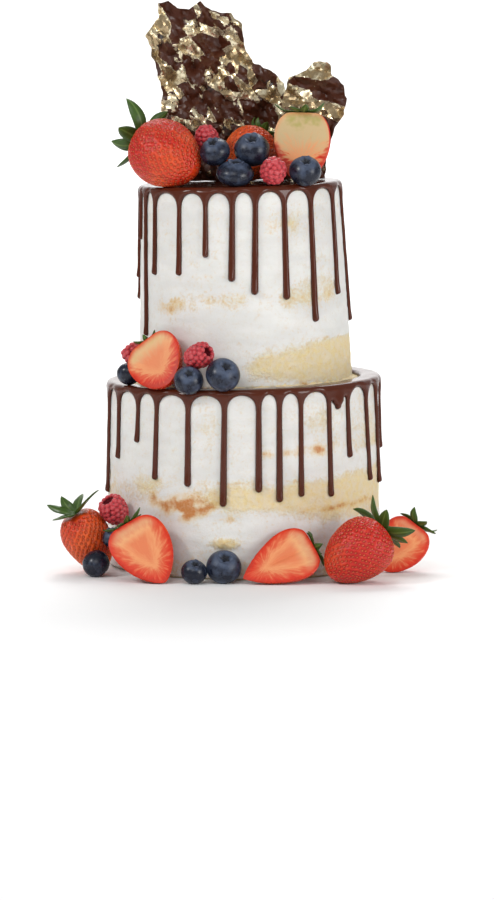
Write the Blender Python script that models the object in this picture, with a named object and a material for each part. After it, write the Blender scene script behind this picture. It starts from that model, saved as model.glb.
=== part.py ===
"""A two-tier layer cake, in metres, +Z up.

Each tier is three rounds of sponge with two of buttercream between them, inside a thin scraped coat of
buttercream. Chocolate ganache runs over both rims in drips. Berries stand round the foot, on the ledge and on
top, with two crumpled sails of gilded chocolate behind them.

The origin is the middle of the lowest sponge's underside, on the surface that the cake stands on. The front
faces -Y. Angles round a tier run anticlockwise from +X, so the front is at -90 degrees.
"""

import math
import random

import bmesh
import bpy
import numpy as np
from mathutils import Matrix, Vector, noise
from mathutils.bvhtree import BVHTree
from mathutils.geometry import delaunay_2d_cdt

MM = 0.001
GAP = 0.3 * MM  # between pieces that touch
FOOT_GAP = 0.1 * MM  # under the berries that stand round the foot
PUSH_STEP = 0.15 * MM  # how finely a berry is moved up to what it touches
MOST_PUSHES = 90

# The two tiers, as coated.
LOWER_HEIGHT = 101.7 * MM
LOWER_BASE_RADIUS = 76.5 * MM  # a six-inch tin and its coat
LOWER_RIM_RADIUS = 74.7 * MM
UPPER_HEIGHT = 107.6 * MM
UPPER_BASE_RADIUS = 59.3 * MM
UPPER_RIM_RADIUS = 54.7 * MM
UPPER_BASE_X = 1.3 * MM
UPPER_RIM_X = -2.0 * MM
LEDGE_SLOPE = 0.023  # the tops rise to the right
TOP_SLOPE = 0.028
RIM_ROUND = 1.0 * MM
COAT = 1.8 * MM
COAT_HEM = 2.0 * MM  # how far the coat stops above what the tier stands on
COAT_SCRAPE = 0.5 * MM  # how deep the scraper leaves hollows in the coat

# Where each round of sponge ends and the next filling starts, from the foot of the tier.
LOWER_LEVELS = (22 * MM, 28 * MM, 58 * MM, 65 * MM)
UPPER_LEVELS = (25 * MM, 36 * MM, 60 * MM, 68 * MM)

GANACHE = 1.5 * MM  # thickness
GANACHE_ROLL = 1.8 * MM  # width over which its edge thins out
CREAM_STRIP = 4.6 * MM  # bare buttercream between the upper tier and the ganache on the ledge
CROWN_DROP = 0.4 * MM  # the arches between drips reach this close under the rounded rim
NECK = 9.0 * MM  # height over which an arch narrows to a drip
WEB_WIDTH = 6.0 * MM  # drips nearer each other than this run together at the rim
WEB_DEPTH = 1.1
TIP_SWELL = 1.25  # width of a drip's rounded end, as a share of the drip's
WIDE_DRIP = 3.0 * MM  # a drip of more than this half width narrows to its end instead
WIDE_TIP = 0.5
ARCH_POWER = 0.75
TOP_RING = 0.55  # a ring of points in the middle of the ganache on top, as a share of the radius

TIER_SEGMENTS = 48
ARCH_POINTS = 4
TIP_POINTS = 3
BACK_DRIP_STEP = 15.5  # degrees, on the side away from the front
SEED = 11

STRAWBERRY_SIDES = 14
STRAWBERRY_RINGS = (0.05, 0.17, 0.34, 0.52, 0.7, 0.86, 0.965)
TIP_POWER = 0.55  # how blunt the tip and the shoulder are
SHOULDER_POWER = 0.33
SHOULDER = 0.48  # height of the shoulder above the middle, as a share of the length
STRAWBERRY_FLATNESS = 0.94
STRAWBERRY_BUMPS = 0.05
LEAF_THICKNESS = 0.8 * MM
LEAF_HUB = 0.22  # the green middle, as a share of a leaf's length
LEAF_WIDTH = 0.36
LEAVES = 7
LEAF_RISE = 0.55  # how steeply the leaves stand, from 0, flat, to 1
HALF_LEAF_RISE = 0.25
HALF_LEAF_BACK = 0.15  # how far behind the cut face a half keeps its leaves, as a share of its width
BLUEBERRY_SIDES = 10
BLUEBERRY_FLATNESS = 0.88
BLUEBERRY_PIT = 0.64  # height of the crown's floor, as a share of the berry's
BLUEBERRY_TURNS = (-40, -12, 15, 40)  # latitudes of the rings of its skin, in degrees
BLUEBERRY_CROWN = ((0.42, 0.84, 0.99), (0.28, 0.76, 0.8))  # radius, height between the points, and at them
RASPBERRY_SIDES = 10
RASPBERRY_PROFILE = (  # radius, and height above the tip, as shares
    (0.5, 0.1), (0.82, 0.27), (0.98, 0.47), (1.0, 0.67), (0.9, 0.86), (0.62, 0.99), (0.36, 0.9),
)
RASPBERRY_PIT = 0.12  # depth of the hollow's floor above the middle, as a share of the length
RASPBERRY_NOTCH = 0.93

SAIL_THICKNESS = 3.0 * MM
SAIL_GRID = 5.6 * MM
SAIL_FOLDS = ((24 * MM, 3.6 * MM), (10 * MM, 2.6 * MM))  # size of each set of folds, and its depth
SAIL_SHARPNESS = 2.6
SAIL_JITTER = 1.0 * MM
LEFT_SAIL_Y = 15 * MM
RIGHT_SAIL_Y = 2 * MM

# Angle in degrees, length down the wall and half width in millimetres, and drift in degrees.
UPPER_DRIPS = (
    (-178.0, 49.8, 1.1, 0.0),
    (-169.4, 28.0, 1.0, 0.0),
    (-159.2, 80.3, 1.3, 2.4),
    (-147.3, 46.3, 1.3, 0.0),
    (-126.9, 46.0, 1.4, -0.6),
    (-110.1, 36.1, 1.4, -0.5),
    (-94.6, 49.2, 1.6, -1.4),
    (-81.5, 56.6, 1.6, -2.1),
    (-64.4, 60.0, 1.6, -1.2),
    (-46.2, 73.2, 1.6, -1.4),
    (-24.5, 60.0, 1.4, -1.4),
    (-2.0, 76.6, 1.2, 1.6),
)
LOWER_DRIPS = (
    (-169.2, 60.9, 1.3, -1.0),
    (-155.1, 39.7, 1.3, 0.0),
    (-139.8, 28.9, 1.3, -0.5),
    (-128.9, 48.5, 1.4, -0.6),
    (-113.6, 51.2, 1.6, 0.0),
    (-97.9, 61.6, 1.6, -0.5),
    (-83.7, 54.1, 1.6, 0.0),
    (-75.0, 59.7, 1.6, 0.0),
    (-65.5, 57.4, 1.4, 0.0),
    (-51.8, 58.7, 1.4, 0.7),
    (-46.9, 12.0, 4.0, 0.0),
    (-41.0, 38.9, 1.4, 1.0),
    (-27.0, 53.6, 1.3, 3.2),
    (-14.4, 57.0, 1.3, 4.6),
    (-3.0, 39.1, 1.1, 0.3),
)
BACK_ARC = (12.0, 174.0)  # degrees, where drips of the same kind go on round the back

# Outlines of the sails, in millimetres: across the cake, and up from its top.
LEFT_SAIL = (
    (-43, 0), (-46, 17), (-46, 36), (-45, 48), (-49, 65), (-54, 82), (-47, 92), (-47.5, 99), (-42, 100),
    (-37, 96), (-30, 95.5), (-24, 99.5), (-18, 94), (-7, 92.5), (-1, 86), (0.5, 75), (5, 65),
    (12.5, 61.5), (18, 58), (22, 53), (27, 38), (26, 18), (28, 0),
)
RIGHT_SAIL = (
    (21, 0), (19, 22), (21, 40), (25, 56.5), (34.5, 60), (39, 64.5), (46.5, 64.5), (49.5, 57.5),
    (55, 51), (57, 43.5), (55.5, 35), (50.5, 28), (46, 12), (45, 0),
)


class Tier:
    """A round cake that tapers and leans a little, with a rounded rim and a top that may slope along X."""

    def __init__(self, floor_z, height, base_radius, rim_radius, base_x, rim_x, base_slope, top_slope):
        self.floor_z = floor_z
        self.height = height
        self.base_radius = base_radius
        self.rim_radius = rim_radius
        self.base_x = base_x
        self.rim_x = rim_x
        self.base_slope = base_slope
        self.top_slope = top_slope
        self.flat = rim_radius - RIM_ROUND  # radius of the level part of the top
        self.wall_start = self.flat + RIM_ROUND * math.pi / 2

    def place(self, radius, angle, z):
        """The point at this radius, angle and height above the tier's foot, about its leaning axis."""
        up = z / self.height
        across = radius * math.cos(angle)
        axis_x = self.base_x + (self.rim_x - self.base_x) * up
        slope = self.base_slope + (self.top_slope - self.base_slope) * up
        return Vector((axis_x + across, radius * math.sin(angle), self.floor_z + z + slope * across))

    def wall_radius(self, z):
        return self.base_radius + (self.rim_radius - self.base_radius) * z / self.height

    def skin(self, angle, reach, lift=0.0):
        """The point this far from the top's middle, over the rim and down the wall, lifted off the skin."""
        if reach <= self.flat:
            return self.place(reach, angle, self.height + lift)
        if reach < self.wall_start:
            turn = (reach - self.flat) / RIM_ROUND
            bend = RIM_ROUND + lift
            z = self.height - RIM_ROUND + bend * math.cos(turn)
            return self.place(self.flat + bend * math.sin(turn), angle, z)
        z = self.height - RIM_ROUND - (reach - self.wall_start)
        return self.place(self.wall_radius(z) + lift, angle, z)

    def top_z(self, x, lift=0.0):
        """Height in the world of the top at x."""
        return self.floor_z + self.height + lift + self.top_slope * (x - self.rim_x)


def clear_scene():
    for obj in list(bpy.data.objects):
        bpy.data.objects.remove(obj)


def finish_material(name, colour, roughness, metallic=0.0):
    material = bpy.data.materials.new(name)
    material.use_nodes = True
    shader = material.node_tree.nodes["Principled BSDF"]
    shader.inputs["Base Color"].default_value = (*colour, 1.0)
    shader.inputs["Roughness"].default_value = roughness
    shader.inputs["Metallic"].default_value = metallic
    return material


def make_object(name, points, faces, material, sharp_angle=40.0):
    """A closed mesh of triangles facing outwards, shaded smooth between its sharp edges."""
    mesh = bpy.data.meshes.new(name)
    mesh.from_pydata([tuple(p) for p in points], [], faces)
    work = bmesh.new()
    work.from_mesh(mesh)
    bmesh.ops.triangulate(work, faces=work.faces)
    bmesh.ops.recalc_face_normals(work, faces=work.faces)
    work.to_mesh(mesh)
    work.free()
    mesh.materials.append(material)
    mesh.shade_smooth()
    mesh.set_sharp_from_angle(angle=math.radians(sharp_angle))
    obj = bpy.data.objects.new(name, mesh)
    bpy.context.scene.collection.objects.link(obj)
    return obj


def loft(rings):
    """Points and faces of a closed skin through rings of points, where a single Vector is a pole."""
    points, faces, rows = [], [], []
    for ring in rings:
        ring = [ring] if isinstance(ring, Vector) else ring
        rows.append(range(len(points), len(points) + len(ring)))
        points.extend(ring)
    for upper, lower in zip(rows, rows[1:]):
        count = max(len(upper), len(lower))
        for i in range(count):
            j = (i + 1) % count
            if len(upper) == 1:
                faces.append((upper[0], lower[j], lower[i]))
            elif len(lower) == 1:
                faces.append((upper[i], upper[j], lower[0]))
            else:
                faces.append((upper[i], upper[j], lower[j], lower[i]))
    return points, faces


def circle(count, turn=0.0):
    return [math.tau * (i + turn) / count for i in range(count)]


def make_round(name, tier, bottom, top, inset, material):
    """One round of sponge or filling, from bottom to top above the tier's foot."""
    angles = circle(TIER_SEGMENTS)
    rings = [tier.place(0.0, 0.0, bottom)]
    for z in (bottom, top):
        rings.append([tier.place(tier.wall_radius(z) - inset, angle, z) for angle in angles])
    rings.append(tier.place(0.0, 0.0, top))
    return make_object(name, *loft(rings), material)


def make_layers(prefix, tier, levels, sponge, cream):
    """The rounds of one tier, each running right through it."""
    ends = (0.0, *levels, tier.height - COAT)
    for i, (bottom, top) in enumerate(zip(ends, ends[1:])):
        kind = "filling" if i % 2 else "sponge"
        material = cream if i % 2 else sponge
        make_round(f"{prefix}_{kind}_{i // 2 + 1}", tier, bottom, top - GAP, COAT + GAP, material)


def scrape(angle, z):
    """How far the scraper has drawn the coat in, at this angle and height."""
    place = Vector((math.cos(angle) * 1.3, math.sin(angle) * 1.3, z / (18 * MM)))
    return COAT_SCRAPE * (0.5 + 0.5 * noise.noise(place))


def make_coat(name, tier, material):
    """The thin coat of buttercream over the top and wall of a tier."""
    angles = circle(TIER_SEGMENTS)
    rings = [tier.skin(0.0, 0.0)]
    for reach in (tier.flat, (tier.flat + tier.wall_start) / 2, tier.wall_start):
        rings.append([tier.skin(angle, reach) for angle in angles])
    for share in (0.35, 0.7, 1.0):
        drop = (tier.height - RIM_ROUND - COAT_HEM) * share
        z = tier.height - RIM_ROUND - drop
        rings.append([tier.skin(angle, tier.wall_start + drop, -scrape(angle, z)) for angle in angles])
    for z in (COAT_HEM, tier.height - COAT):
        rings.append([tier.place(tier.wall_radius(z) - COAT, angle, z) for angle in angles])
    rings.append(tier.place(0.0, 0.0, tier.height - COAT))
    return make_object(name, *loft(rings), material)


def back_drips(rng):
    """Drips like those in front, for the side that faces away."""
    drips, angle = [], BACK_ARC[0]
    while angle < BACK_ARC[1]:
        drips.append((angle, rng.uniform(30, 72), rng.uniform(1.2, 1.6), rng.uniform(-1, 1)))
        angle += BACK_DRIP_STEP * rng.uniform(0.75, 1.2)
    return drips


def drip_outline(tier, drips):
    """The ganache's lower edge, as (angle, reach): each drip's tip, then an arch to the next drip."""
    rim = tier.wall_start
    drips = sorted((math.radians(a), length * MM, half * MM, math.radians(d)) for a, length, half, d in drips)
    outline = []
    for (angle, length, half, drift), following in zip(drips, drips[1:] + [drips[0]]):
        next_angle, next_length, next_half, _ = following
        if next_angle < angle:
            next_angle += math.tau
        tip = half * (WIDE_TIP if half > WIDE_DRIP else TIP_SWELL)
        for i in range(TIP_POINTS + 1):
            turn = math.pi * i / TIP_POINTS
            side = -tip * math.cos(turn)
            depth = length - tip + tip * math.sin(turn)
            across = angle + drift * depth / length + side / tier.rim_radius
            outline.append((across, rim + depth - RIM_ROUND))
        left = angle + half / tier.rim_radius
        right = next_angle - next_half / tier.rim_radius
        width = (right - left) * tier.rim_radius
        crown = CROWN_DROP + max(0.0, WEB_WIDTH - width) * WEB_DEPTH
        springing = crown + min(NECK, width, 0.5 * length, 0.5 * next_length)
        for i in range(ARCH_POINTS + 1):
            turn = math.pi * i / ARCH_POINTS
            across = (left + right) / 2 - (right - left) / 2 * math.cos(turn)
            outline.append((across, rim + springing - (springing - crown) * math.sin(turn) ** ARCH_POWER))
    return outline


def inside(loop, x, y):
    """Whether each point (x, y) lies inside the closed loop."""
    found = np.zeros(len(x), bool)
    for (x0, y0), (x1, y1) in zip(loop, np.roll(loop, -1, axis=0)):
        if y0 != y1:
            found ^= ((y0 > y) != (y1 > y)) & (x < x0 + (x1 - x0) * (y - y0) / (y1 - y0))
    return found


def distance_to(loop, points):
    """Distance from each point to the closed loop."""
    best = np.full(len(points), np.inf)
    for start, end in zip(loop, np.roll(loop, -1, axis=0)):
        along = end - start
        t = np.clip((points - start) @ along / (along @ along), 0, 1)
        best = np.minimum(best, np.linalg.norm(points - start - t[:, None] * along, axis=1))
    return best


def ring_points(radius, count):
    return [(radius * math.cos(a), radius * math.sin(a)) for a in circle(count)]


def fill_between(outer, inner, rings, extra):
    """Triangles between the two loops, along the rings and through the extra points.

    Where an edge would cross from border to border, its middle becomes a point too.
    """
    loops = [np.array(loop) for loop in (outer, inner) if len(loop)]
    extra = [tuple(p) for p in extra]
    while True:
        points, edges = [], []
        for loop in (*loops, *rings):
            edges.extend((len(points) + i, len(points) + (i + 1) % len(loop)) for i in range(len(loop)))
            points.extend(map(tuple, loop))
        on_edge = sum(len(loop) for loop in loops)
        found = delaunay_2d_cdt([Vector(p) for p in points + extra], edges, [], 0, 1e-7)
        flat = np.array([tuple(p) for p in found[0]])
        rim = np.array([any(i < on_edge for i in origins) for origins in found[3]])
        faces = np.array(found[2])
        middle = flat[faces].mean(axis=1)
        keep = inside(loops[0], middle[:, 0], middle[:, 1])
        for loop in loops[1:]:
            keep &= ~inside(loop, middle[:, 0], middle[:, 1])
        faces = faces[keep]
        sides = np.sort(np.concatenate([faces[:, [0, 1]], faces[:, [1, 2]], faces[:, [2, 0]]]), axis=1)
        sides, uses = np.unique(sides, axis=0, return_counts=True)
        crossing = sides[(uses == 2) & rim[sides[:, 0]] & rim[sides[:, 1]]]
        if not len(crossing):
            return flat, faces, rim
        extra.extend(map(tuple, flat[crossing].mean(axis=1)))


def make_ganache(name, tier, drips, inner_radius, material):
    """Ganache over the rim, as one skin that thins out at its edges."""
    outline = drip_outline(tier, drips)
    outer = [(reach * math.cos(a), reach * math.sin(a)) for a, reach in outline]
    inner = ring_points(inner_radius, TIER_SEGMENTS) if inner_radius else []
    middle_round = (tier.flat + tier.wall_start) / 2
    rings = [ring_points(radius, TIER_SEGMENTS) for radius in (tier.flat, middle_round, tier.wall_start)]
    extra = [] if inner else [(0.0, 0.0), *ring_points(tier.flat * TOP_RING, TIER_SEGMENTS // 3)]
    flat, faces, rim = fill_between(outer, inner, rings, extra)
    depth = distance_to(np.array(outer), flat)
    if inner:
        depth = np.minimum(depth, distance_to(np.array(inner), flat))
    points, lower = [], {}
    for i in sorted(set(faces.ravel())):
        angle, reach = math.atan2(flat[i][1], flat[i][0]), math.hypot(*flat[i])
        share = min(1.0, depth[i] / GANACHE_ROLL)
        thickness = 0.0 if rim[i] else GANACHE * math.sqrt(share * (2 - share))
        lower[i] = (len(points), len(points) if rim[i] else len(points) + 1)
        points.append(tier.skin(angle, reach, GAP + thickness))
        if not rim[i]:
            points.append(tier.skin(angle, reach, GAP))
    top = [tuple(lower[i][0] for i in face) for face in faces]
    bottom = [tuple(lower[i][1] for i in reversed(face)) for face in faces]
    return make_object(name, points, top + bottom, material, 60.0)


def turned(axis, face=None):
    """The rotation that points +Z along axis and, where a face is given, -Y as near to it as may be."""
    z = Vector(axis).normalized()
    if face is None:
        return z.to_track_quat("Z", "Y").to_matrix()
    y = -Vector(face)
    y = (y - y.dot(z) * z).normalized()
    return Matrix((y.cross(z), y, z)).transposed()


def strawberry_radius(share, tip):
    """Radius of a strawberry of unit radius, from its tip at 0 to its shoulder at 1."""
    widest = tip / (tip + SHOULDER_POWER)
    return (share / widest) ** tip * ((1 - share) / (1 - widest)) ** SHOULDER_POWER


def strawberry_ring(share, length, width, angles, seed, tip=TIP_POWER):
    """One ring of a strawberry's skin, uneven as a real one is."""
    ring = []
    for angle in angles:
        place = Vector((math.cos(angle) + seed, math.sin(angle), share * 2))
        radius = width / 2 * strawberry_radius(share, tip) * (1 + STRAWBERRY_BUMPS * noise.noise(place))
        y = radius * STRAWBERRY_FLATNESS * math.sin(angle)
        ring.append(Vector((radius * math.cos(angle), y, (share - 0.5) * length)))
    return ring


def make_strawberry(name, length, width, material, seed):
    """A whole strawberry about the origin, tip down."""
    angles = circle(STRAWBERRY_SIDES)
    rings = [strawberry_ring(share, length, width, angles, seed) for share in STRAWBERRY_RINGS]
    rings = [Vector((0, 0, -0.5 * length)), *rings, Vector((0, 0, SHOULDER * length))]
    return make_object(name, *loft(rings), material, 70.0)


def make_half(name, length, width, material, seed, tip):
    """Half a strawberry about the origin, tip down, its cut face towards -Y."""
    angles = [math.pi * i / (STRAWBERRY_SIDES // 2) for i in range(STRAWBERRY_SIDES // 2 + 1)]
    rings = [strawberry_ring(share, length, width, angles, seed, tip) for share in STRAWBERRY_RINGS]
    rings = [Vector((0, 0, -0.5 * length)), *rings, Vector((0, 0, SHOULDER * length))]
    return make_object(name, *loft(rings), material, 50.0)


def make_calyx(name, reach, rise, material, seed):
    """A ring of leaves about the origin, opening upwards, as one thin skin. reach is a leaf's length."""
    rng = random.Random(seed)
    hub = reach * LEAF_HUB
    points = [Vector((0, 0, 0))] + [Vector((hub * math.cos(a), hub * math.sin(a), 0)) for a in circle(LEAVES)]
    faces = []
    for i, angle in enumerate(circle(LEAVES, 0.5)):
        left, right, first = 1 + i, 1 + (i + 1) % LEAVES, len(points)
        length = reach * rng.uniform(0.75, 1.0)
        lift = rise * rng.uniform(0.5, 1.0)
        out = Vector((math.cos(angle), math.sin(angle), 0))
        half = Vector((-out.y, out.x, 0)) * length * LEAF_WIDTH / 2
        middle = out * (hub + length * 0.42) + Vector((0, 0, length * 0.5 * lift))
        tip = out * (hub + length * (0.85 - 0.3 * lift)) + Vector((0, 0, length * (0.75 * lift + 0.1)))
        points += [middle - half, middle + half, tip]
        faces += [(0, left, right), (left, first, first + 1), (left, first + 1, right)]
        faces.append((first, first + 2, first + 1))
    obj = make_object(name, points, faces, material)
    thicken = obj.modifiers.new("leaf thickness", "SOLIDIFY")
    thicken.thickness = LEAF_THICKNESS
    thicken.offset = -1.0
    return obj


def make_blueberry(name, width, height, material):
    """A blueberry about the origin, its five-pointed crown towards +Z."""
    turns = [math.radians(turn) for turn in BLUEBERRY_TURNS]
    profile = [(math.cos(turn), math.sin(turn), math.sin(turn)) for turn in turns]
    rings = [Vector((0, 0, -height / 2))]
    for share, low, high in (*profile, *BLUEBERRY_CROWN):
        ring = []
        radius = share * width / 2
        for i, angle in enumerate(circle(BLUEBERRY_SIDES)):
            z = height / 2 * (high if i % 2 else low)
            ring.append(Vector((radius * math.cos(angle), radius * math.sin(angle), z)))
        rings.append(ring)
    rings.append(Vector((0, 0, BLUEBERRY_PIT * height / 2)))
    return make_object(name, *loft(rings), material, 70.0)


def make_raspberry(name, length, width, material):
    """A raspberry about the origin, tip down, hollow at its open end."""
    rings = [Vector((0, 0, -0.5 * length))]
    for i, (share, up) in enumerate(RASPBERRY_PROFILE):
        ring = []
        for k, angle in enumerate(circle(RASPBERRY_SIDES, 0.5 * (i % 2))):
            radius = width / 2 * share * (1.0 if k % 2 else RASPBERRY_NOTCH)
            ring.append(Vector((radius * math.cos(angle), radius * math.sin(angle), (up - 0.5) * length)))
        rings.append(ring)
    rings.append(Vector((0, 0, RASPBERRY_PIT * length)))
    return make_object(name, *loft(rings), material, 25.0)


def fold(x, z, seed):
    """How far forward or back a crumpled sail lies, at this place on it."""
    total = 0.0
    for size, depth in SAIL_FOLDS:
        total += depth * (1 - SAIL_SHARPNESS * abs(noise.noise(Vector((x / size + seed, seed, z / size)))))
    return total


def make_sail(name, tier, outline, middle_y, material, seed):
    """A crumpled sheet of chocolate that stands across the top of a tier."""
    rng = random.Random(seed)
    loop = np.array(outline) * MM
    low, high = loop.min(axis=0), loop.max(axis=0)
    grid = []
    for row in range(int((high[1] - low[1]) / SAIL_GRID) + 1):
        for column in range(int((high[0] - low[0]) / SAIL_GRID) + 1):
            x = low[0] + (column + 0.5 * (row % 2)) * SAIL_GRID + rng.uniform(-1, 1) * SAIL_JITTER
            z = low[1] + (row + 0.5) * SAIL_GRID + rng.uniform(-1, 1) * SAIL_JITTER
            grid.append((x, z))
    grid = np.array(grid)
    clear = inside(loop, grid[:, 0], grid[:, 1]) & (distance_to(loop, grid) > 0.4 * SAIL_GRID)
    flat, faces, _ = fill_between(loop, [], [], grid[clear])
    points = []
    for side in (-0.5, 0.5):
        for x, up in flat:
            y = middle_y + fold(x, up, seed) + side * SAIL_THICKNESS
            points.append(Vector((x, y, tier.top_z(x, 2 * GAP + GANACHE) + up)))
    count = len(flat)
    front = [tuple(int(i) for i in face) for face in faces]
    back = [tuple(i + count for i in reversed(face)) for face in front]
    sides = {side for a, b, c in front for side in ((a, b), (b, c), (c, a))}
    border = sorted((start, end) for start, end in sides if (end, start) not in sides)
    edge = [(end, start, start + count, end + count) for start, end in border]
    return make_object(name, points, front + back + edge, material, 20.0)


def make_tiers(materials):
    """Makes the two tiers, and returns what berries may lie on, and last the upper tier's shape."""
    sponge, cream, ganache = materials["sponge"], materials["cream"], materials["ganache"]
    lower = Tier(0.0, LOWER_HEIGHT, LOWER_BASE_RADIUS, LOWER_RIM_RADIUS, 0.0, 0.0, 0.0, LEDGE_SLOPE)
    foot = lower.top_z(UPPER_BASE_X, GAP)
    upper = Tier(
        foot,
        UPPER_HEIGHT,
        UPPER_BASE_RADIUS,
        UPPER_RIM_RADIUS,
        UPPER_BASE_X,
        UPPER_RIM_X,
        LEDGE_SLOPE,
        TOP_SLOPE,
    )
    rng = random.Random(SEED)
    supports = []
    for prefix, tier, levels, drips, bare in (
        ("lower", lower, LOWER_LEVELS, LOWER_DRIPS, UPPER_BASE_RADIUS + CREAM_STRIP),
        ("upper", upper, UPPER_LEVELS, UPPER_DRIPS, 0.0),
    ):
        make_layers(prefix, tier, levels, sponge, cream)
        supports.append(make_coat(f"{prefix}_coat", tier, cream))
        supports.append(make_ganache(f"{prefix}_ganache", tier, [*drips, *back_drips(rng)], bare, ganache))
    return [*supports, upper]


class Pile:
    """The berries put down so far and what they lie on, so that the next one can be brought up to them."""

    def __init__(self, materials, supports):
        self.materials = materials
        self.counts = {}
        self.trees = []
        for obj in supports:
            self.keep([obj])

    def name(self, kind):
        self.counts[kind] = self.counts.get(kind, 0) + 1
        return f"{kind}_{self.counts[kind]}"

    def tree(self, obj):
        points = [obj.matrix_world @ v.co for v in obj.data.vertices]
        return points, BVHTree.FromPolygons(points, [tuple(p.vertices) for p in obj.data.polygons])

    def room(self, obj):
        """How far other pieces have to stay from this object's mesh."""
        return GAP + (LEAF_THICKNESS if obj.modifiers else 0.0)

    def keep(self, parts):
        self.trees += [(self.tree(obj)[1], self.room(obj)) for obj in parts]

    def clear(self, parts):
        """Whether none of the parts touches the ground or anything in the pile."""
        for obj in parts:
            points, tree = self.tree(obj)
            if min(p.z for p in points) < FOOT_GAP:
                return False
            for other, room in self.trees:
                room = max(room, self.room(obj))
                if tree.overlap(other) or any(other.find_nearest(p, room)[0] for p in points):
                    return False
        return True

    def put(self, parts, place, rotation, pushes):
        """Puts the parts down in one piece, and moves them along each push until they all but touch."""
        home = Matrix.Translation(Vector(place) * MM) @ rotation.to_4x4()
        for obj in parts:
            obj.matrix_world = home @ obj.matrix_world
        for push in pushes:
            step = Matrix.Translation(Vector(push).normalized() * PUSH_STEP)
            back = step.inverted()
            while not self.clear(parts):
                self.shift(parts, back)
            for _ in range(MOST_PUSHES):
                self.shift(parts, step)
                if not self.clear(parts):
                    self.shift(parts, back)
                    break
        self.keep(parts)

    def shift(self, parts, move):
        for obj in parts:
            obj.matrix_world = move @ obj.matrix_world

    def blueberry(self, width, place, axis, *pushes, flatness=BLUEBERRY_FLATNESS):
        name = self.name("blueberry")
        obj = make_blueberry(name, width * MM, width * MM * flatness, self.materials["blueberry"])
        self.put([obj], place, turned(axis), pushes)

    def raspberry(self, size, place, axis, *pushes):
        obj = make_raspberry(self.name("raspberry"), size[0] * MM, size[1] * MM, self.materials["raspberry"])
        self.put([obj], place, turned(axis), pushes)

    def strawberry(self, size, place, axis, leaf, *pushes):
        name = self.name("strawberry")
        seed = self.counts["strawberry"]
        obj = make_strawberry(name, size[0] * MM, size[1] * MM, self.materials["strawberry"], seed)
        calyx = make_calyx(f"{name}_leaves", leaf * MM, LEAF_RISE, self.materials["leaf"], seed)
        calyx.matrix_world = Matrix.Translation((0, 0, SHOULDER * size[0] * MM + GAP))
        self.put([obj, calyx], place, turned(axis), pushes)

    def half(self, size, place, axis, face, leaf, *pushes, tip=TIP_POWER):
        name = self.name("strawberry_half")
        seed = 10 + self.counts["strawberry_half"]
        obj = make_half(name, size[0] * MM, size[1] * MM, self.materials["strawberry_flesh"], seed, tip)
        calyx = make_calyx(f"{name}_leaves", leaf * MM, HALF_LEAF_RISE, self.materials["leaf"], seed)
        back = HALF_LEAF_BACK * size[1] * MM
        calyx.matrix_world = Matrix.Translation((0, back, SHOULDER * size[0] * MM + GAP))
        self.put([obj, calyx], place, turned(axis, face), pushes)


def add_foot_berries(pile):
    """The berries that stand round the lower tier. Sizes and places are in millimetres."""
    down = (0, 0, -1)
    pile.strawberry((36, 28), (-84.5, -43, 21), (-0.42, -0.15, 0.89), 16, down)
    pile.blueberry(12, (-71, -58, 21), (-0.3, -0.5, 0.8), (0, 1, 0), down)
    pile.half((41, 33), (-52.5, -81.5, 21), (-0.52, 0.42, 0.74), (-0.05, -0.87, 0.5), 11, down, tip=0.68)
    pile.raspberry((17, 16.5), (-70.5, -47, 44), (-0.5, -0.35, 0.8), down)
    pile.blueberry(15, (-79.5, -68, 9), (0.3, 0.7, -0.5), down, (-0.1, 1, 0))
    pile.blueberry(19.2, (-10.5, -89, 11), (0.1, -0.7, 0.7), down, (0, 1, 0))
    pile.blueberry(14.2, (-30, -87, 9), (0.1, -0.55, 0.8), down, (1, 0, 0))
    pile.half((43, 29.5), (19, -94, 18), (0.88, 0.2, 0.4), (0, -0.85, 0.5), 9, down, (0, 1, 0), down, tip=0.85)
    pile.strawberry((39, 36), (74, -84, 20), (0.7, 0.35, 0.55), 18, down, (-1, 0, 0))
    pile.half((32, 28), (85.5, -44, 18), (0.6, 0.25, 0.75), (0.1, -0.95, 0.3), 12, down)
    pile.strawberry((33, 29), (30, 98, 17), (-0.6, 0.5, 0.5), 13, (-0.3, -0.95, 0), down)
    pile.blueberry(16, (3, 92, 10), (0.1, 0.8, 0.6), (0, -1, 0), down)
    pile.raspberry((17, 16), (58, 80, 11), (0.5, 0.7, 0.3), (-0.6, -0.8, 0), down)


def add_ledge_berries(pile):
    """The berries on the ledge, left of the front."""
    down = (0, 0, -1)
    inward = (0.6, 0.8, 0)
    pile.half((33, 32), (-50, -60, 120), (-0.4, 0.62, 0.68), (-0.5, -0.75, 0.45), 8, inward, down, inward)
    pile.blueberry(13, (-63, -34, 112), (0.3, 0.6, 0.7), down)
    pile.blueberry(18.8, (-11, -75, 115), (0.25, -0.7, 0.65), down, (0, 1, 0))
    pile.blueberry(16.2, (-29.5, -72.5, 114), (0.05, -0.75, 0.65), down)
    pile.raspberry((17, 15), (-25, -66, 130), (0.75, -0.55, 0.4), down)
    pile.raspberry((13, 13), (-60, -27.5, 128), (-0.6, 0.2, 0.75), down)


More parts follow.
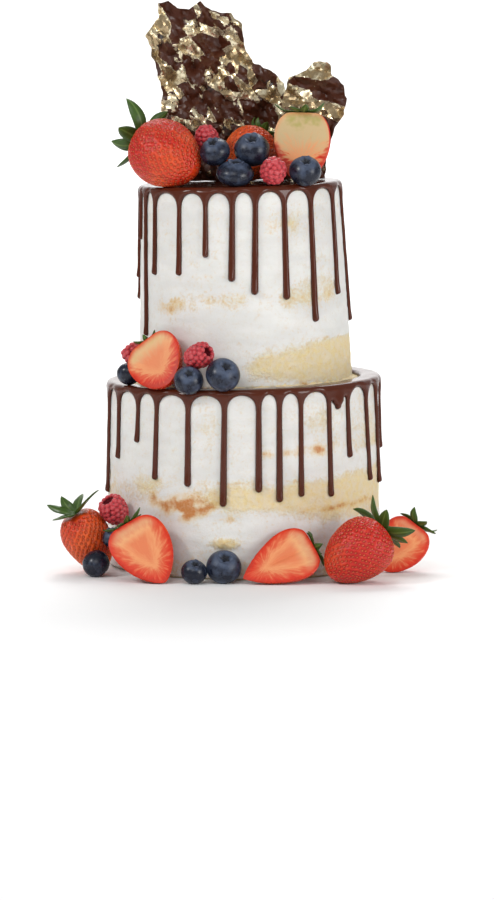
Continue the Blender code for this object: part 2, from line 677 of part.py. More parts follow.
def add_top_berries(pile):
    """The berries in front of the sails, and two behind them."""
    down = (0, 0, -1)
    pile.strawberry((41, 38.5), (-41, -32, 236), (-0.68, 0.62, 0.38), 22, down)
    pile.half((39.5, 31), (32, -26, 236), (0.03, 0.22, 0.97), (0, -1, 0.2), 10, down)
    pile.strawberry((33, 30), (2, -9, 236), (0.45, 0.5, 0.7), 12, down, (0, 1, 0))
    pile.blueberry(20.5, (-4.5, -45, 224), (0.05, -0.25, 0.95), down, flatness=0.66)
    pile.blueberry(17.5, (33.5, -43, 226), (0.05, -0.65, 0.75), down, (0, 1, 0))
    pile.raspberry((15, 15.5), (16, -50, 225), (-0.1, 0.7, -0.6), down)
    pile.blueberry(13, (16, -34, 228), (0.3, -0.5, 0.6), down)
    pile.blueberry(16.5, (-15.5, -40, 238), (-0.2, -0.6, 0.75), down)
    pile.blueberry(19.5, (4.6, -35, 244), (0, -0.65, 0.75), down)
    pile.raspberry((16, 15), (-20, -22, 248), (0.1, 0.3, -0.9), down)
    pile.blueberry(17, (-14, 40, 221), (0, 0.5, 0.8), (0, -1, 0), down)
    pile.raspberry((17, 16), (8, 42, 221), (-0.3, 0.7, 0.4), (-0.3, -1, 0), down)


def main():
    clear_scene()
    materials = {
        "sponge": finish_material("sponge", (0.62, 0.46, 0.22), 0.9),
        "cream": finish_material("cream", (0.84, 0.81, 0.74), 0.55),
        "ganache": finish_material("ganache", (0.09, 0.028, 0.016), 0.28),
        "strawberry": finish_material("strawberry", (0.5, 0.03, 0.018), 0.35),
        "strawberry_flesh": finish_material("strawberry_flesh", (0.68, 0.12, 0.05), 0.4),
        "leaf": finish_material("leaf", (0.06, 0.13, 0.025), 0.55),
        "blueberry": finish_material("blueberry", (0.025, 0.035, 0.07), 0.5),
        "raspberry": finish_material("raspberry", (0.5, 0.045, 0.06), 0.45),
        "gilded_chocolate": finish_material("gilded_chocolate", (0.25, 0.15, 0.06), 0.3, 0.5),
    }
    supports = make_tiers(materials)
    upper = supports.pop()
    gilded = materials["gilded_chocolate"]
    supports.append(make_sail("chocolate_sail_left", upper, LEFT_SAIL, LEFT_SAIL_Y, gilded, 1))
    supports.append(make_sail("chocolate_sail_right", upper, RIGHT_SAIL, RIGHT_SAIL_Y, gilded, 2))
    pile = Pile(materials, supports)
    add_foot_berries(pile)
    add_ledge_berries(pile)
    add_top_berries(pile)


main()
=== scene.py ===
"""Looks for a two-tier layer cake with dripping ganache, berries and sails of gilded chocolate.

It is laid out as an add-on and run as a script, around the cake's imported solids. Lengths are in metres, but
in millimetres in the tables that say so. Angles round a tier run anticlockwise from +X, so the front is at
-90 degrees.
"""

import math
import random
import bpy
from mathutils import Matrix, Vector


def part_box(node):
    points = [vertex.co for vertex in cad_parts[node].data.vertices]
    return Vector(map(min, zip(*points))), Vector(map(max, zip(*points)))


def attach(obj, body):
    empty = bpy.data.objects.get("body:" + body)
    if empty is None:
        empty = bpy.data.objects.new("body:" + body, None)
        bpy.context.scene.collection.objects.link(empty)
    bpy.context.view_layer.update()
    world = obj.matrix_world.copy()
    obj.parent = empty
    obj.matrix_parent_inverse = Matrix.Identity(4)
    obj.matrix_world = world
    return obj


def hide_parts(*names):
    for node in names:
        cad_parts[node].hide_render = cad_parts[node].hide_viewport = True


bl_info = {
    "name": "Layer Cake",
    "version": (1, 0, 0),
    "blender": (4, 5, 0),
    "location": "3D View > Sidebar > Cake",
    "description": "Builds a tiered layer cake's coats, ganache, fruit and chocolate around its solids",
    "category": "Add Mesh",
}

import bmesh
import bpy
import numpy as np
from mathutils import Matrix, Vector, noise
from mathutils.geometry import delaunay_2d_cdt
from mathutils.kdtree import KDTree

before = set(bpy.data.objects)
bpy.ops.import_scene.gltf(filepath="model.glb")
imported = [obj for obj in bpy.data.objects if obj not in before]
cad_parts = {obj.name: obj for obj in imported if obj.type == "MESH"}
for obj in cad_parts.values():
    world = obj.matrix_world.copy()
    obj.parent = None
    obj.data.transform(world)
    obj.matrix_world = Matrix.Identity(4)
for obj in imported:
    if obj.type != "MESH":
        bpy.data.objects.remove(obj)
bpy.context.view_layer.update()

MM = 0.001
GAP = 0.3 * MM

# The tiers, as the solids have them.
LOWER_HEIGHT = 101.7 * MM
LOWER_BASE_RADIUS = 76.5 * MM
LOWER_RIM_RADIUS = 74.7 * MM
UPPER_HEIGHT = 107.6 * MM
UPPER_BASE_RADIUS = 59.3 * MM
UPPER_RIM_RADIUS = 54.7 * MM
UPPER_BASE_X = 1.3 * MM
UPPER_RIM_X = -2.0 * MM
LEDGE_SLOPE = 0.023
TOP_SLOPE = 0.028
RIM_ROUND = 1.0 * MM
COAT = 1.8 * MM
COAT_HEM = 1.0 * MM
LOWER_COAT_START = UPPER_BASE_RADIUS - 1.5 * MM  # it runs in under the upper tier
UPPER_COAT_START = UPPER_RIM_RADIUS - 6 * MM  # it runs in under the ganache
CREAM_STRIP = 4.6 * MM
GANACHE = 1.5 * MM

COAT_COLUMNS = 380
COAT_STEP = 0.9 * MM
BEAD_WIDTH = 5.0 * MM
# Sizes of the lumps in a coat, and of the scraper's streaks, which run this much longer round the cake.
BROAD_LUMP = 30 * MM
FINE_LUMP = 6 * MM
SMALL_LUMP = 2.4 * MM
STREAK = 3.2 * MM
STREAK_SHARE = 0.16
# Heights of the fillings' undersides and tops, in millimetres.
LOWER_FILLINGS = ((22, 28), (58, 65))
UPPER_FILLINGS = ((25, 36), (60, 68))

# Drips: angle in degrees, length and half width in millimetres, and drift in degrees.
UPPER_DRIPS = (
    (-178.0, 49.8, 1.1, 0.0), (-169.4, 28.0, 1.0, 0.0), (-159.2, 80.3, 1.3, 2.4),
    (-147.3, 46.3, 1.3, 0.0), (-126.9, 46.0, 1.4, -0.6), (-110.1, 36.1, 1.4, -0.5),
    (-94.6, 49.2, 1.6, -1.4), (-81.5, 56.6, 1.6, -2.1), (-64.4, 60.0, 1.6, -1.2),
    (-46.2, 73.2, 1.6, -1.4), (-24.5, 60.0, 1.4, -1.4), (-2.0, 76.6, 1.2, 1.6),
)
LOWER_DRIPS = (
    (-169.2, 60.9, 1.3, -1.0), (-155.1, 39.7, 1.3, 0.0), (-139.8, 28.9, 1.3, -0.5),
    (-128.9, 48.5, 1.4, -0.6), (-113.6, 51.2, 1.6, 0.0), (-97.9, 61.6, 1.6, -0.5),
    (-83.7, 54.1, 1.6, 0.0), (-75.0, 59.7, 1.6, 0.0), (-65.5, 57.4, 1.4, 0.0),
    (-51.8, 58.7, 1.4, 0.7), (-46.9, 12.0, 4.0, 0.0), (-41.0, 38.9, 1.4, 1.0),
    (-27.0, 53.6, 1.3, 3.2), (-14.4, 57.0, 1.3, 4.6), (-3.0, 39.1, 1.1, 0.3),
)
BACK_ARC = (12.0, 174.0)
BACK_DRIP_STEP = 15.5
DRIP_SEED = 11
CROWN_DROP = 0.4 * MM
NECK = 9.0 * MM
WEB_WIDTH = 6.0 * MM
WEB_DEPTH = 1.1
TIP_SWELL = 1.25
WIDE_DRIP = 3.0 * MM
WIDE_TIP = 0.5
ARCH_POWER = 0.75
TIP_POINTS = 12
ARCH_POINTS = 16
GANACHE_ROLL = 1.8 * MM
GANACHE_STEP = 0.6 * MM
GANACHE_TOP_STEP = 1.7 * MM
GANACHE_SINK = 0.35 * MM  # how far the ganache's edge beds into the coat
GANACHE_FINE = 3 * MM  # how far in from the rim its mesh is fine
INNER_POINTS = 360
INNER_RAG = 0.8 * MM  # how far its edge on the ledge wanders
ROW_SPACING = 0.87  # rows of even triangles, as a share of their side
EDGE_CLEARANCE = 0.45  # no point of the mesh is nearer an edge than this share of a step
TIP_FULLNESS = (2.4 * MM, 3.4 * MM)  # reach of the swelling at a drip's tip, across and along
BORDER_STEP = 0.2 * MM

# Strawberries: length and width in millimetres, axis, leaf length, and how deep the red is from 0 to 1.
STRAWBERRIES = {
    "strawberry_1": ((36, 28), (-0.42, -0.15, 0.89), 16, 0.2),
    "strawberry_2": ((39, 36), (0.7, 0.35, 0.55), 18, 0.75),
    "strawberry_3": ((33, 29), (-0.6, 0.5, 0.5), 13, 0.7),
    "strawberry_4": ((41, 38.5), (-0.68, 0.62, 0.38), 22, 0.55),
    "strawberry_5": ((33, 30), (0.45, 0.5, 0.7), 12, 0.15),
}
# Halves: length and width in millimetres, axis, the cut face's direction, leaf length and lift, how blunt
# the tip is, and how pale the flesh is, which also sets how much painted shade darkens its shoulder.
HALVES = {
    "strawberry_half_1": ((41, 33), (-0.52, 0.42, 0.74), (-0.05, -0.87, 0.5), 11, 0.25, 0.68, 0.1),
    "strawberry_half_2": ((43, 29.5), (0.88, 0.2, 0.4), (0, -0.85, 0.5), 10, 0.25, 0.85, 0.1),
    "strawberry_half_3": ((32, 28), (0.6, 0.25, 0.75), (0.1, -0.95, 0.3), 12, 0.25, 0.55, 0.0),
    "strawberry_half_4": ((33, 32), (-0.4, 0.62, 0.68), (-0.5, -0.75, 0.45), 8, 0.25, 0.55, 0.35),
    "strawberry_half_5": ((39.5, 31), (0.03, 0.22, 0.97), (0, -1, 0.2), 14, 0.1, 0.55, 1.0),
}
SLIT_HALF = "strawberry_half_2"  # the one with an opening in its core
STRAWBERRY_FLATNESS = 0.94
TIP_POWER = 0.55
SHOULDER_POWER = 0.33
SHOULDER = 0.48
STRAWBERRY_SIDES = 120
STRAWBERRY_RINGS = 76
SEED_SPREAD = 2.6 * MM
SEED_HOLLOW = 1.6 * MM
FACE_COLUMNS = 40
LEAVES = 7
LEAF_ROWS = 12
LEAF_COLUMNS = 5
LEAF_BREADTH = 0.19  # half the leaf's width, as a share of its length
LEAF_LIFT = 0.55
LEAF_CURL = (-1.3, 1.9)
LEAF_TWIST = 0.5
HALF_LEAF_BACK = 0.15  # how far behind the cut face a half's leaves are, as a share of its width
# Blueberries: width in millimetres, the crown's direction, and how much pale bloom from 0 to 1.
BLUEBERRIES = {
    "blueberry_1": (12, (-0.3, -0.5, 0.8), 0.5),
    "blueberry_2": (15, (0.3, 0.7, -0.5), 0.35),
    "blueberry_3": (19.2, (0.1, -0.7, 0.7), 0.8),
    "blueberry_4": (14.2, (0.1, -0.55, 0.8), 0.45),
    "blueberry_5": (16, (0.1, 0.8, 0.6), 0.5),
    "blueberry_6": (13, (0.3, 0.6, 0.7), 0.4),
    "blueberry_7": (18.8, (0.25, -0.7, 0.65), 0.8),
    "blueberry_8": (16.2, (0.05, -0.75, 0.65), 0.6),
    "blueberry_9": (20.5, (0.05, -0.25, 0.95), 0.55),
    "blueberry_10": (17.5, (0.05, -0.65, 0.75), 0.6),
    "blueberry_11": (13, (0.3, -0.5, 0.6), 0.2),
    "blueberry_12": (16.5, (-0.2, -0.6, 0.75), 0.5),
    "blueberry_13": (19.5, (0, -0.65, 0.75), 0.6),
    "blueberry_14": (17, (0, 0.5, 0.8), 0.5),
}
BLUEBERRY_FLATNESS = {"blueberry_9": 0.66}
USUAL_FLATNESS = 0.88
BLUEBERRY_SIDES = 60
BLUEBERRY_RINGS = 30
BLUEBERRY_SKIN = (-86, 68)  # the latitudes between which it is round; above them is the crown
# Raspberries: length and width in millimetres, and axis.
RASPBERRIES = {
    "raspberry_1": ((17, 16.5), (-0.5, -0.35, 0.8)),
    "raspberry_2": ((17, 16), (0.5, 0.7, 0.3)),
    "raspberry_3": ((17, 15), (0.75, -0.55, 0.4)),
    "raspberry_4": ((13, 13), (-0.6, 0.2, 0.75)),
    "raspberry_5": ((15, 15.5), (-0.1, 0.7, -0.6)),
    "raspberry_6": ((16, 15), (0.1, 0.3, -0.9)),
    "raspberry_7": ((17, 16), (-0.3, 0.7, 0.4)),
}
BEAD_SPREAD = 1.62  # between the beads of a row, in bead radii
BEAD_ROW = 1.5  # between the rows
BEAD_SINK = 0.45
RASPBERRY_SIDES = 104
RASPBERRY_RINGS = 74
# The raspberries' outline up to the rim, and down into the hollow: radius and height, as shares.
RASPBERRY_OUTER = (
    (0.0, 0.04), (0.5, 0.11), (0.8, 0.27), (0.93, 0.47), (0.95, 0.67), (0.86, 0.84), (0.66, 0.93)
)
RASPBERRY_HOLLOW = ((0.5, 0.92), (0.4, 0.84), (0.32, 0.7), (0.16, 0.64))

# Outlines of the sails, in millimetres: across the cake, and up from its top.
SAILS = {
    "chocolate_sail_left": (
        (-43, 0), (-46, 17), (-46, 36), (-45, 48), (-49, 65), (-54, 82), (-47, 92), (-47.5, 99), (-42, 100),
        (-37, 96), (-30, 95.5), (-24, 99.5), (-18, 94), (-7, 92.5), (-1, 86), (0.5, 75), (5, 65),
        (12.5, 61.5), (18, 58), (22, 53), (27, 38), (26, 18), (28, 0),
    ),
    "chocolate_sail_right": (
        (21, 0), (19, 22), (21, 40), (25, 56.5), (34.5, 60), (39, 64.5), (46.5, 64.5), (49.5, 57.5),
        (55, 51), (57, 43.5), (55.5, 35), (50.5, 28), (46, 12), (45, 0),
    ),
}
SAIL_SEEDS = {"chocolate_sail_left": 1, "chocolate_sail_right": 2}
SAIL_GRID = 1.2 * MM
SAIL_JITTER = 0.35 * MM
SAIL_FOLDS = ((24 * MM, 3.2 * MM), (10 * MM, 1.4 * MM))
SAIL_SHARPNESS = 2.6
SAIL_GRAIN = {"chocolate_sail_left": -50.0, "chocolate_sail_right": -12.0}  # the creases' slant, in degrees
SAIL_RAG = 0.9 * MM  # how far its edge is torn in and out
CREASE_STRETCH = 0.55
CREASES = ((8 * MM, 1.0), (4 * MM, -0.6), (2 * MM, 0.22))  # size of the hollows, and their depth as a share

CAMERA_PLACE = (0.0019, -2.3, 0.330)
CAMERA_DOWN = 6.64  # degrees below level
CAMERA_LENS = 166.32
CAMERA_SENSOR = 36
FLOOR_REACH = 4.0  # to each side, in metres
FLOOR_PROFILE = ((-4.0, 0.0), (2.6, 0.0), (2.95, 0.08), (3.12, 0.3), (3.2, 0.8), (3.2, 3.4))
SKY = 0.36
CAKE_MIDDLE = (0, 0, 0.15)
# Soft lights: place, what it points at, width in metres, and power in watts.
LIGHTS = {
    "key": ((-1.2, -0.85, 1.1), CAKE_MIDDLE, 0.4, 9.5),
    "front": ((-0.4, -2.0, 1.6), CAKE_MIDDLE, 1.3, 11),
    "fill": ((1.2, -1.0, 0.5), CAKE_MIDDLE, 0.7, 9),
    "back": ((0.2, 0.9, 1.2), CAKE_MIDDLE, 0.8, 6),
    "backdrop": ((0, 1.9, 2.3), (0, 3.0, 0.2), 1.8, 60),
}


def linear(red, green, blue):
    """A colour as the photograph gives it, from 0 to 255, in Blender's linear light."""
    parts = [part / 255 for part in (red, green, blue)]
    return tuple(p / 12.92 if p <= 0.04045 else ((p + 0.055) / 1.055) ** 2.4 for p in parts)


def length_property(name, description, default):
    return bpy.props.FloatProperty(
        name=name, description=description, default=default, min=0, unit="LENGTH"
    )


def colour_property(name, description, default):
    return bpy.props.FloatVectorProperty(
        name=name, description=description, default=default, subtype="COLOR", size=3, min=0, max=1
    )


class CakeSizes(bpy.types.PropertyGroup):
    """Sizes of the cake's finer forms."""

    ganache: length_property("Ganache", "How thick the ganache is", GANACHE)
    scrape: length_property("Scrape", "How deep the scraper has drawn the coat in", 0.5 * MM)
    crumb: length_property("Crumb", "How rough the coat is where sponge shows", 0.5 * MM)
    bead: length_property("Bead", "How high the cream stands at the foot of the upper tier", 3.4 * MM)
    seed: length_property("Seed", "Length of a strawberry's seed", 1.1 * MM)
    dimple: length_property("Dimple", "How deep a strawberry's seeds lie", 1.0 * MM)
    leaf: length_property("Leaf", "How thick a strawberry's leaves are", 0.45 * MM)
    drupelet: length_property("Drupelet", "Radius of the beads of a raspberry", 1.75 * MM)
    sail: length_property("Sail", "How thick the chocolate is", 1.6 * MM)
    crumple: length_property("Crumple", "How deep the chocolate's creases are", 5.0 * MM)


class CakeColours(bpy.types.PropertyGroup):
    """Colours of the cake's parts."""

    cream: colour_property("Cream", "Buttercream", linear(227, 226, 222))
    crumb: colour_property("Crumb", "Sponge that shows through the coat", linear(230, 214, 162))
    toast: colour_property("Toast", "The sponge's crust", linear(216, 178, 108))
    caramel: colour_property("Caramel", "The darkest of the crust", linear(186, 108, 30))
    ganache: colour_property("Ganache", "Chocolate ganache", linear(78, 30, 13))
    strawberry: colour_property("Strawberry", "A ripe strawberry's skin", linear(196, 26, 16))
    unripe: colour_property("Unripe", "The paler part of a strawberry's skin", linear(232, 96, 30))
    seed: colour_property("Seed", "A strawberry's seeds", linear(226, 126, 58))
    flesh: colour_property("Flesh", "Cut strawberry near the skin", linear(212, 50, 22))
    core: colour_property("Core", "Cut strawberry round its core", linear(232, 154, 102))
    shoulder: colour_property("Shoulder", "Cut strawberry under its leaves", linear(226, 200, 150))
    leaf: colour_property("Leaf", "A strawberry's leaves", linear(72, 102, 34))
    blueberry: colour_property("Blueberry", "A blueberry's skin", linear(24, 28, 42))
    bloom: colour_property("Bloom", "The pale wax on a blueberry", linear(88, 102, 128))
    raspberry: colour_property("Raspberry", "A raspberry's beads", linear(192, 40, 50))
    chocolate: colour_property("Chocolate", "The sails' chocolate", linear(70, 33, 18))
    gold: colour_property("Gold", "Gold leaf", linear(250, 238, 204))
    floor: colour_property("Floor", "The floor and backdrop", linear(246, 246, 246))


class Value:
    """A shader node's output. An expression on it adds Math nodes."""

    def __init__(self, finish, socket):
        self.finish = finish
        self.socket = socket

    def __add__(self, other):
        return self.finish.math("ADD", self, other)

    def __radd__(self, other):
        return self.finish.math("ADD", other, self)

    def __sub__(self, other):
        return self.finish.math("SUBTRACT", self, other)

    def __rsub__(self, other):
        return self.finish.math("SUBTRACT", other, self)

    def __mul__(self, other):
        return self.finish.math("MULTIPLY", self, other)

    def __rmul__(self, other):
        return self.finish.math("MULTIPLY", other, self)

    def __pow__(self, other):
        return self.finish.math("POWER", self, other)


class Finish:
    """A material, and the nodes that make it."""

    def __init__(self, name):
        self.material = bpy.data.materials.new(name)
        self.material.use_nodes = True
        self.tree = self.material.node_tree
        self.shader = self.tree.nodes["Principled BSDF"]
        self.place = self.value("ShaderNodeTexCoord", output="Object")

    def node(self, kind, settings=None, values=None):
        """Adds a node. Settings come first, then sockets, by name or number, get values or links."""
        node = self.tree.nodes.new(kind)
        for key, setting in (settings or {}).items():
            if key == "stops":
                self.set_stops(node.color_ramp, setting)
            else:
                setattr(node, key, setting)
        for key, value in (values or {}).items():
            self.feed(node.inputs[key], value)
        return node

    def feed(self, socket, value):
        if isinstance(value, Value):
            self.tree.links.new(value.socket, socket)
        elif socket.type == "RGBA":
            socket.default_value = (*value, 1.0)
        else:
            socket.default_value = value

    def set_stops(self, ramp, stops):
        while len(ramp.elements) < len(stops):
            ramp.elements.new(1.0)
        for element, (place, colour) in zip(ramp.elements, stops):
            element.position = place
            element.color = (*colour, 1.0)

    def value(self, kind, settings=None, values=None, output=0):
        return Value(self, self.node(kind, settings, values).outputs[output])

    def math(self, operation, *operands):
        return self.value("ShaderNodeMath", {"operation": operation}, dict(enumerate(operands)))

    def attribute(self, name):
        return self.value("ShaderNodeAttribute", {"attribute_name": name}, output="Fac")

    def noise(self, size, detail=3.0, roughness=0.55, place=None, stretch=None):
        """Noise from 0 to 1, whose lumps are about size across."""
        place = place or self.place
        if stretch:
            values = {0: place, 1: stretch}
            place = self.value("ShaderNodeVectorMath", {"operation": "MULTIPLY"}, values)
        values = {"Vector": place, "Scale": 1 / size, "Detail": detail, "Roughness": roughness}
        return self.value("ShaderNodeTexNoise", None, values, "Fac")

    def cells(self, size):
        """Distance to the nearest of scattered points, which are about size apart, from 0."""
        values = {"Vector": self.place, "Scale": 1 / size}
        return self.value("ShaderNodeTexVoronoi", None, values, "Distance")

    def step(self, value, low, high):
        """A smooth step from 0 at low to 1 at high."""
        values = {"Value": value, "From Min": low, "From Max": high}
        return self.value("ShaderNodeMapRange", {"interpolation_type": "SMOOTHSTEP"}, values)

    def mix(self, factor, first, second):
        """A colour between the first and the second."""
        values = {0: factor, 6: first, 7: second}
        return self.value("ShaderNodeMix", {"data_type": "RGBA"}, values, 2)

    def ramp(self, value, stops):
        return self.value("ShaderNodeValToRGB", {"stops": stops}, {0: value})

    def bump(self, height, distance, strength=1.0):
        """Raises the surface by height, from 0 to 1, times distance."""
        values = {"Height": height, "Distance": distance, "Strength": strength}
        self.feed(self.shader.inputs["Normal"], self.value("ShaderNodeBump", None, values))

    def set(self, **sockets):
        """Sets the shader's sockets, named with _ for a space."""
        for name, value in sockets.items():
            self.feed(self.shader.inputs[name.replace("_", " ")], value)
        return self.material


class Tier:
    """A round cake that tapers and leans a little, with a rounded rim and a top that may slope along X."""

    def __init__(self, floor_z, height, base_radius, rim_radius, base_x, rim_x, base_slope, top_slope):
        self.floor_z = floor_z
        self.height = height
        self.base_radius = base_radius
        self.rim_radius = rim_radius
        self.base_x = base_x
        self.rim_x = rim_x
        self.base_slope = base_slope
        self.top_slope = top_slope
        self.flat = rim_radius - RIM_ROUND
        self.wall_start = self.flat + RIM_ROUND * math.pi / 2

    def place(self, radius, angle, z):
        """Points at these radii, angles and heights above the tier's foot, about its leaning axis."""
        up = z / self.height
        across = radius * np.cos(angle)
        axis_x = self.base_x + (self.rim_x - self.base_x) * up
        slope = self.base_slope + (self.top_slope - self.base_slope) * up
        along = radius * np.sin(angle)
        return np.stack([axis_x + across, along, self.floor_z + z + slope * across], axis=-1)

    def wall_radius(self, z):
        return self.base_radius + (self.rim_radius - self.base_radius) * z / self.height

    def wall_z(self, reach):
        """Height above the foot, this far from the top's middle over the rim and down the wall."""
        turn = np.clip((reach - self.flat) / RIM_ROUND, 0, math.pi / 2)
        return self.height - RIM_ROUND * (1 - np.cos(turn)) - np.maximum(reach - self.wall_start, 0)

    def skin(self, angle, reach, lift):
        """Points this far from the top's middle, over the rim and down the wall, lifted off the skin."""
        turn = np.clip((reach - self.flat) / RIM_ROUND, 0, math.pi / 2)
        bend = RIM_ROUND + lift
        z = self.height - RIM_ROUND + bend * np.cos(turn) - np.maximum(reach - self.wall_start, 0)
        radius = np.where(reach < self.flat, reach, self.flat + bend * np.sin(turn))
        radius = np.where(reach > self.wall_start, self.wall_radius(z) + lift, radius)
        return self.place(radius, angle, z)


LOWER_TIER = Tier(0.0, LOWER_HEIGHT, LOWER_BASE_RADIUS, LOWER_RIM_RADIUS, 0.0, 0.0, 0.0, LEDGE_SLOPE)
UPPER_TIER = Tier(
    LOWER_HEIGHT + GAP + LEDGE_SLOPE * UPPER_BASE_X,
    UPPER_HEIGHT,
    UPPER_BASE_RADIUS,
    UPPER_RIM_RADIUS,
    UPPER_BASE_X,
    UPPER_RIM_X,
    LEDGE_SLOPE,
    TOP_SLOPE,
)


def noise_at(points, size, seed=0.0):
    """Smooth noise from about -1 to 1 at each point, with lumps about size across."""
    return np.array([noise.noise(p) for p in (np.asarray(points) / size + seed).tolist()])


def smooth(value, low, high):
    share = np.clip((value - low) / (high - low), 0, 1)
    return share * share * (3 - 2 * share)


def circle(count, turn=0.0):
    return np.arange(turn, count + turn) * math.tau / count


def compass(angles):
    """Points of the unit circle, lying flat, at these angles."""
    return np.stack([np.cos(angles), np.sin(angles), 0 * angles], axis=1)


def pole(z):
    """A ring of one point, on the Z axis."""
    return np.array([[0, 0, z]])


def loft(rings):
    """Points and faces of a skin through closed rings of points, where a ring of one point is a pole."""
    starts = np.cumsum([0, *(len(ring) for ring in rings)])
    faces = []
    for above, below, first, second in zip(rings, rings[1:], starts, starts[1:]):
        i = np.arange(max(len(above), len(below)))
        j = np.roll(i, -1)
        if len(above) == 1:
            corners = [np.full(len(i), first), second + j, second + i]
        elif len(below) == 1:
            corners = [first + i, first + j, np.full(len(i), second)]
        else:
            corners = [first + i, first + j, second + j, second + i]
        faces.extend(np.stack(corners, axis=1).tolist())
    return np.concatenate(rings), faces


def make_mesh(name, points, faces, materials, attributes=None, sharp_angle=None, face_materials=None):
    """A mesh object facing outwards, that rides with the cake. attributes are numbers for each point."""
    mesh = bpy.data.meshes.new(name)
    mesh.from_pydata(np.asarray(points).tolist(), [], faces)
    for key, values in (attributes or {}).items():
        attribute = mesh.attributes.new(key, "FLOAT", "POINT")
        attribute.data.foreach_set("value", np.asarray(values, np.float32))
    for material in materials:
        mesh.materials.append(material)
    if face_materials is not None:
        mesh.polygons.foreach_set("material_index", np.asarray(face_materials, np.int32))
    work = bmesh.new()
    work.from_mesh(mesh)
    bmesh.ops.recalc_face_normals(work, faces=work.faces)
    work.to_mesh(mesh)
    work.free()
    mesh.shade_smooth()
    if sharp_angle is not None:
        mesh.set_sharp_from_angle(angle=math.radians(sharp_angle))
    obj = bpy.data.objects.new(name, mesh)
    bpy.context.scene.collection.objects.link(obj)
    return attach(obj, "root")


def stand_for(node):
    """The piece is shown in place of the solid."""
    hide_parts(node)


def turned(axis, face=None):
    """The rotation that points +Z along axis and, where a face is given, -Y as near to it as may be."""
    z = Vector(axis).normalized()
    if face is None:
        return np.array(z.to_track_quat("Z", "Y").to_matrix())
    y = -Vector(face)
    y = (y - y.dot(z) * z).normalized()
    return np.array(Matrix((y.cross(z), y, z)).transposed())


def lay(points, turn, node):
    """How far to move the turned points to bring the middle of their box to that of the node's."""
    low, high = map(np.array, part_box(node))
    moved = points @ turn.T
    return (low + high) / 2 - (moved.min(axis=0) + moved.max(axis=0)) / 2


def inside(loop, x, y):
    """Whether each point (x, y) lies inside the closed loop."""
    found = np.zeros(len(x), bool)
    for (x0, y0), (x1, y1) in zip(loop, np.roll(loop, -1, axis=0)):
        if y0 != y1:
            found ^= ((y0 > y) != (y1 > y)) & (x < x0 + (x1 - x0) * (y - y0) / (y1 - y0))
    return found


def split_long(loop, longest, around=0.0):
    """The closed loop with points added so that no side is longer than this. It may end round the cake."""
    points = []
    for start, end in zip(loop, [*loop[1:], loop[0] + (around, 0.0)]):
        count = max(1, math.ceil(np.linalg.norm(end - start) / longest))
        points.extend(start + (end - start) * i / count for i in range(count))
    return np.array(points)


def distance_to(loops, points, around=0.0):
    """Distance from each point to the nearest loop. Where around is given, x wraps round at that length."""
    border = np.concatenate([split_long(loop, BORDER_STEP, around) for loop in loops])
    if around:
        border = np.concatenate([border + (turn * around, 0.0) for turn in (-1, 0, 1)])
    tree = KDTree(len(border))
    for i, (x, y) in enumerate(border.tolist()):
        tree.insert((x, y, 0.0), i)
    tree.balance()
    return np.array([tree.find((x, y, 0.0))[2] for x, y in points.tolist()])


def fill(loops, extra):
    """Triangles inside the first loop and outside the others, through the extra points."""
    points, edges = [tuple(p) for p in loops[0]], []
    outer = list(range(len(points)))
    for loop in loops[1:]:
        first, count = len(points), len(loop)
        edges.extend((first + i, first + (i + 1) % count) for i in range(count))
        points.extend(map(tuple, loop))
    on_edge = len(points)
    points.extend(map(tuple, extra))
    found = delaunay_2d_cdt([Vector(p) for p in points], edges, [outer], 1, 1e-8)
    flat = np.array([tuple(p) for p in found[0]])
    rim = np.array([any(i < on_edge for i in origins) for origins in found[3]])
    faces = np.array(found[2])
    middle = flat[faces].mean(axis=1)
    for loop in loops[1:]:
        outside = ~inside(loop, middle[:, 0], middle[:, 1])
        faces, middle = faces[outside], middle[outside]
    return flat, faces, rim


# Coats


def patch(angle, z, middle_angle, middle_z, wide, high):
    """A soft patch on a wall, from 0 to 1: its place and size in degrees and millimetres."""
    across = (np.degrees(angle) - middle_angle + 180) % 360 - 180
    return np.exp(-((across / wide) ** 2) - ((z / MM - middle_z) / high) ** 2)


# Patches of bare sponge and of crust: angle in degrees, height, width in degrees, height of the patch, and
# strength, with the heights in millimetres. In each lower list, the wide patch low along the front is painted
# shade and warm reflected light at the lower tier's foot, not sponge or crust.
LOWER_BARE_AND_FOOT_SHADE = (
    (-40, 44, 34, 9, 1.3), (-76, 44, 24, 7, 0.9), (-58, 84, 12, 14, 0.6), (-18, 72, 20, 22, 0.8),
    # The last patch on the next line is painted shade and warm reflected light along the foot.
    (-133, 50, 14, 8, 0.7), (-100, 46, 16, 6, 0.5), (-28, 24, 26, 9, 0.95), (-90, 5, 90, 8, 0.4),
    (10, 45, 40, 14, 0.9), (80, 46, 50, 10, 1.0), (150, 44, 40, 10, 0.9), (60, 82, 26, 12, 0.6),
    (130, 84, 30, 10, 0.5),
)
LOWER_TOAST_AND_FOOT_SHADE = (
    # The last patch on the next line is painted shade and warm reflected light along the foot.
    (-116, 38, 9, 5.5, 1.6), (-127, 43, 9, 5, 1.1), (-108, 42, 9, 7, 0.8), (-90, 3, 90, 10, 0.45),
    (-113, 37.5, 5, 4, 0.7), (-67, 69, 12, 3, 0.8), (-53, 69.5, 9, 4, 0.85), (-79, 68, 5, 2, 0.6),
    (-96, 33, 3, 2.4, 0.9), (-60, 36.5, 12, 1.8, 0.7), (-44, 37.5, 12, 2.2, 0.9),
    (-28, 38.5, 14, 2.4, 0.8), (-95, 52.5, 13, 1.1, 0.6), (-60, 53, 20, 1.1, 0.5),
    (60, 69, 30, 3, 0.8), (100, 37, 36, 2.5, 1.0), (150, 40, 14, 5, 1.1), (-165, 42, 10, 6, 0.7),
    (20, 52, 30, 1.3, 0.6),
)
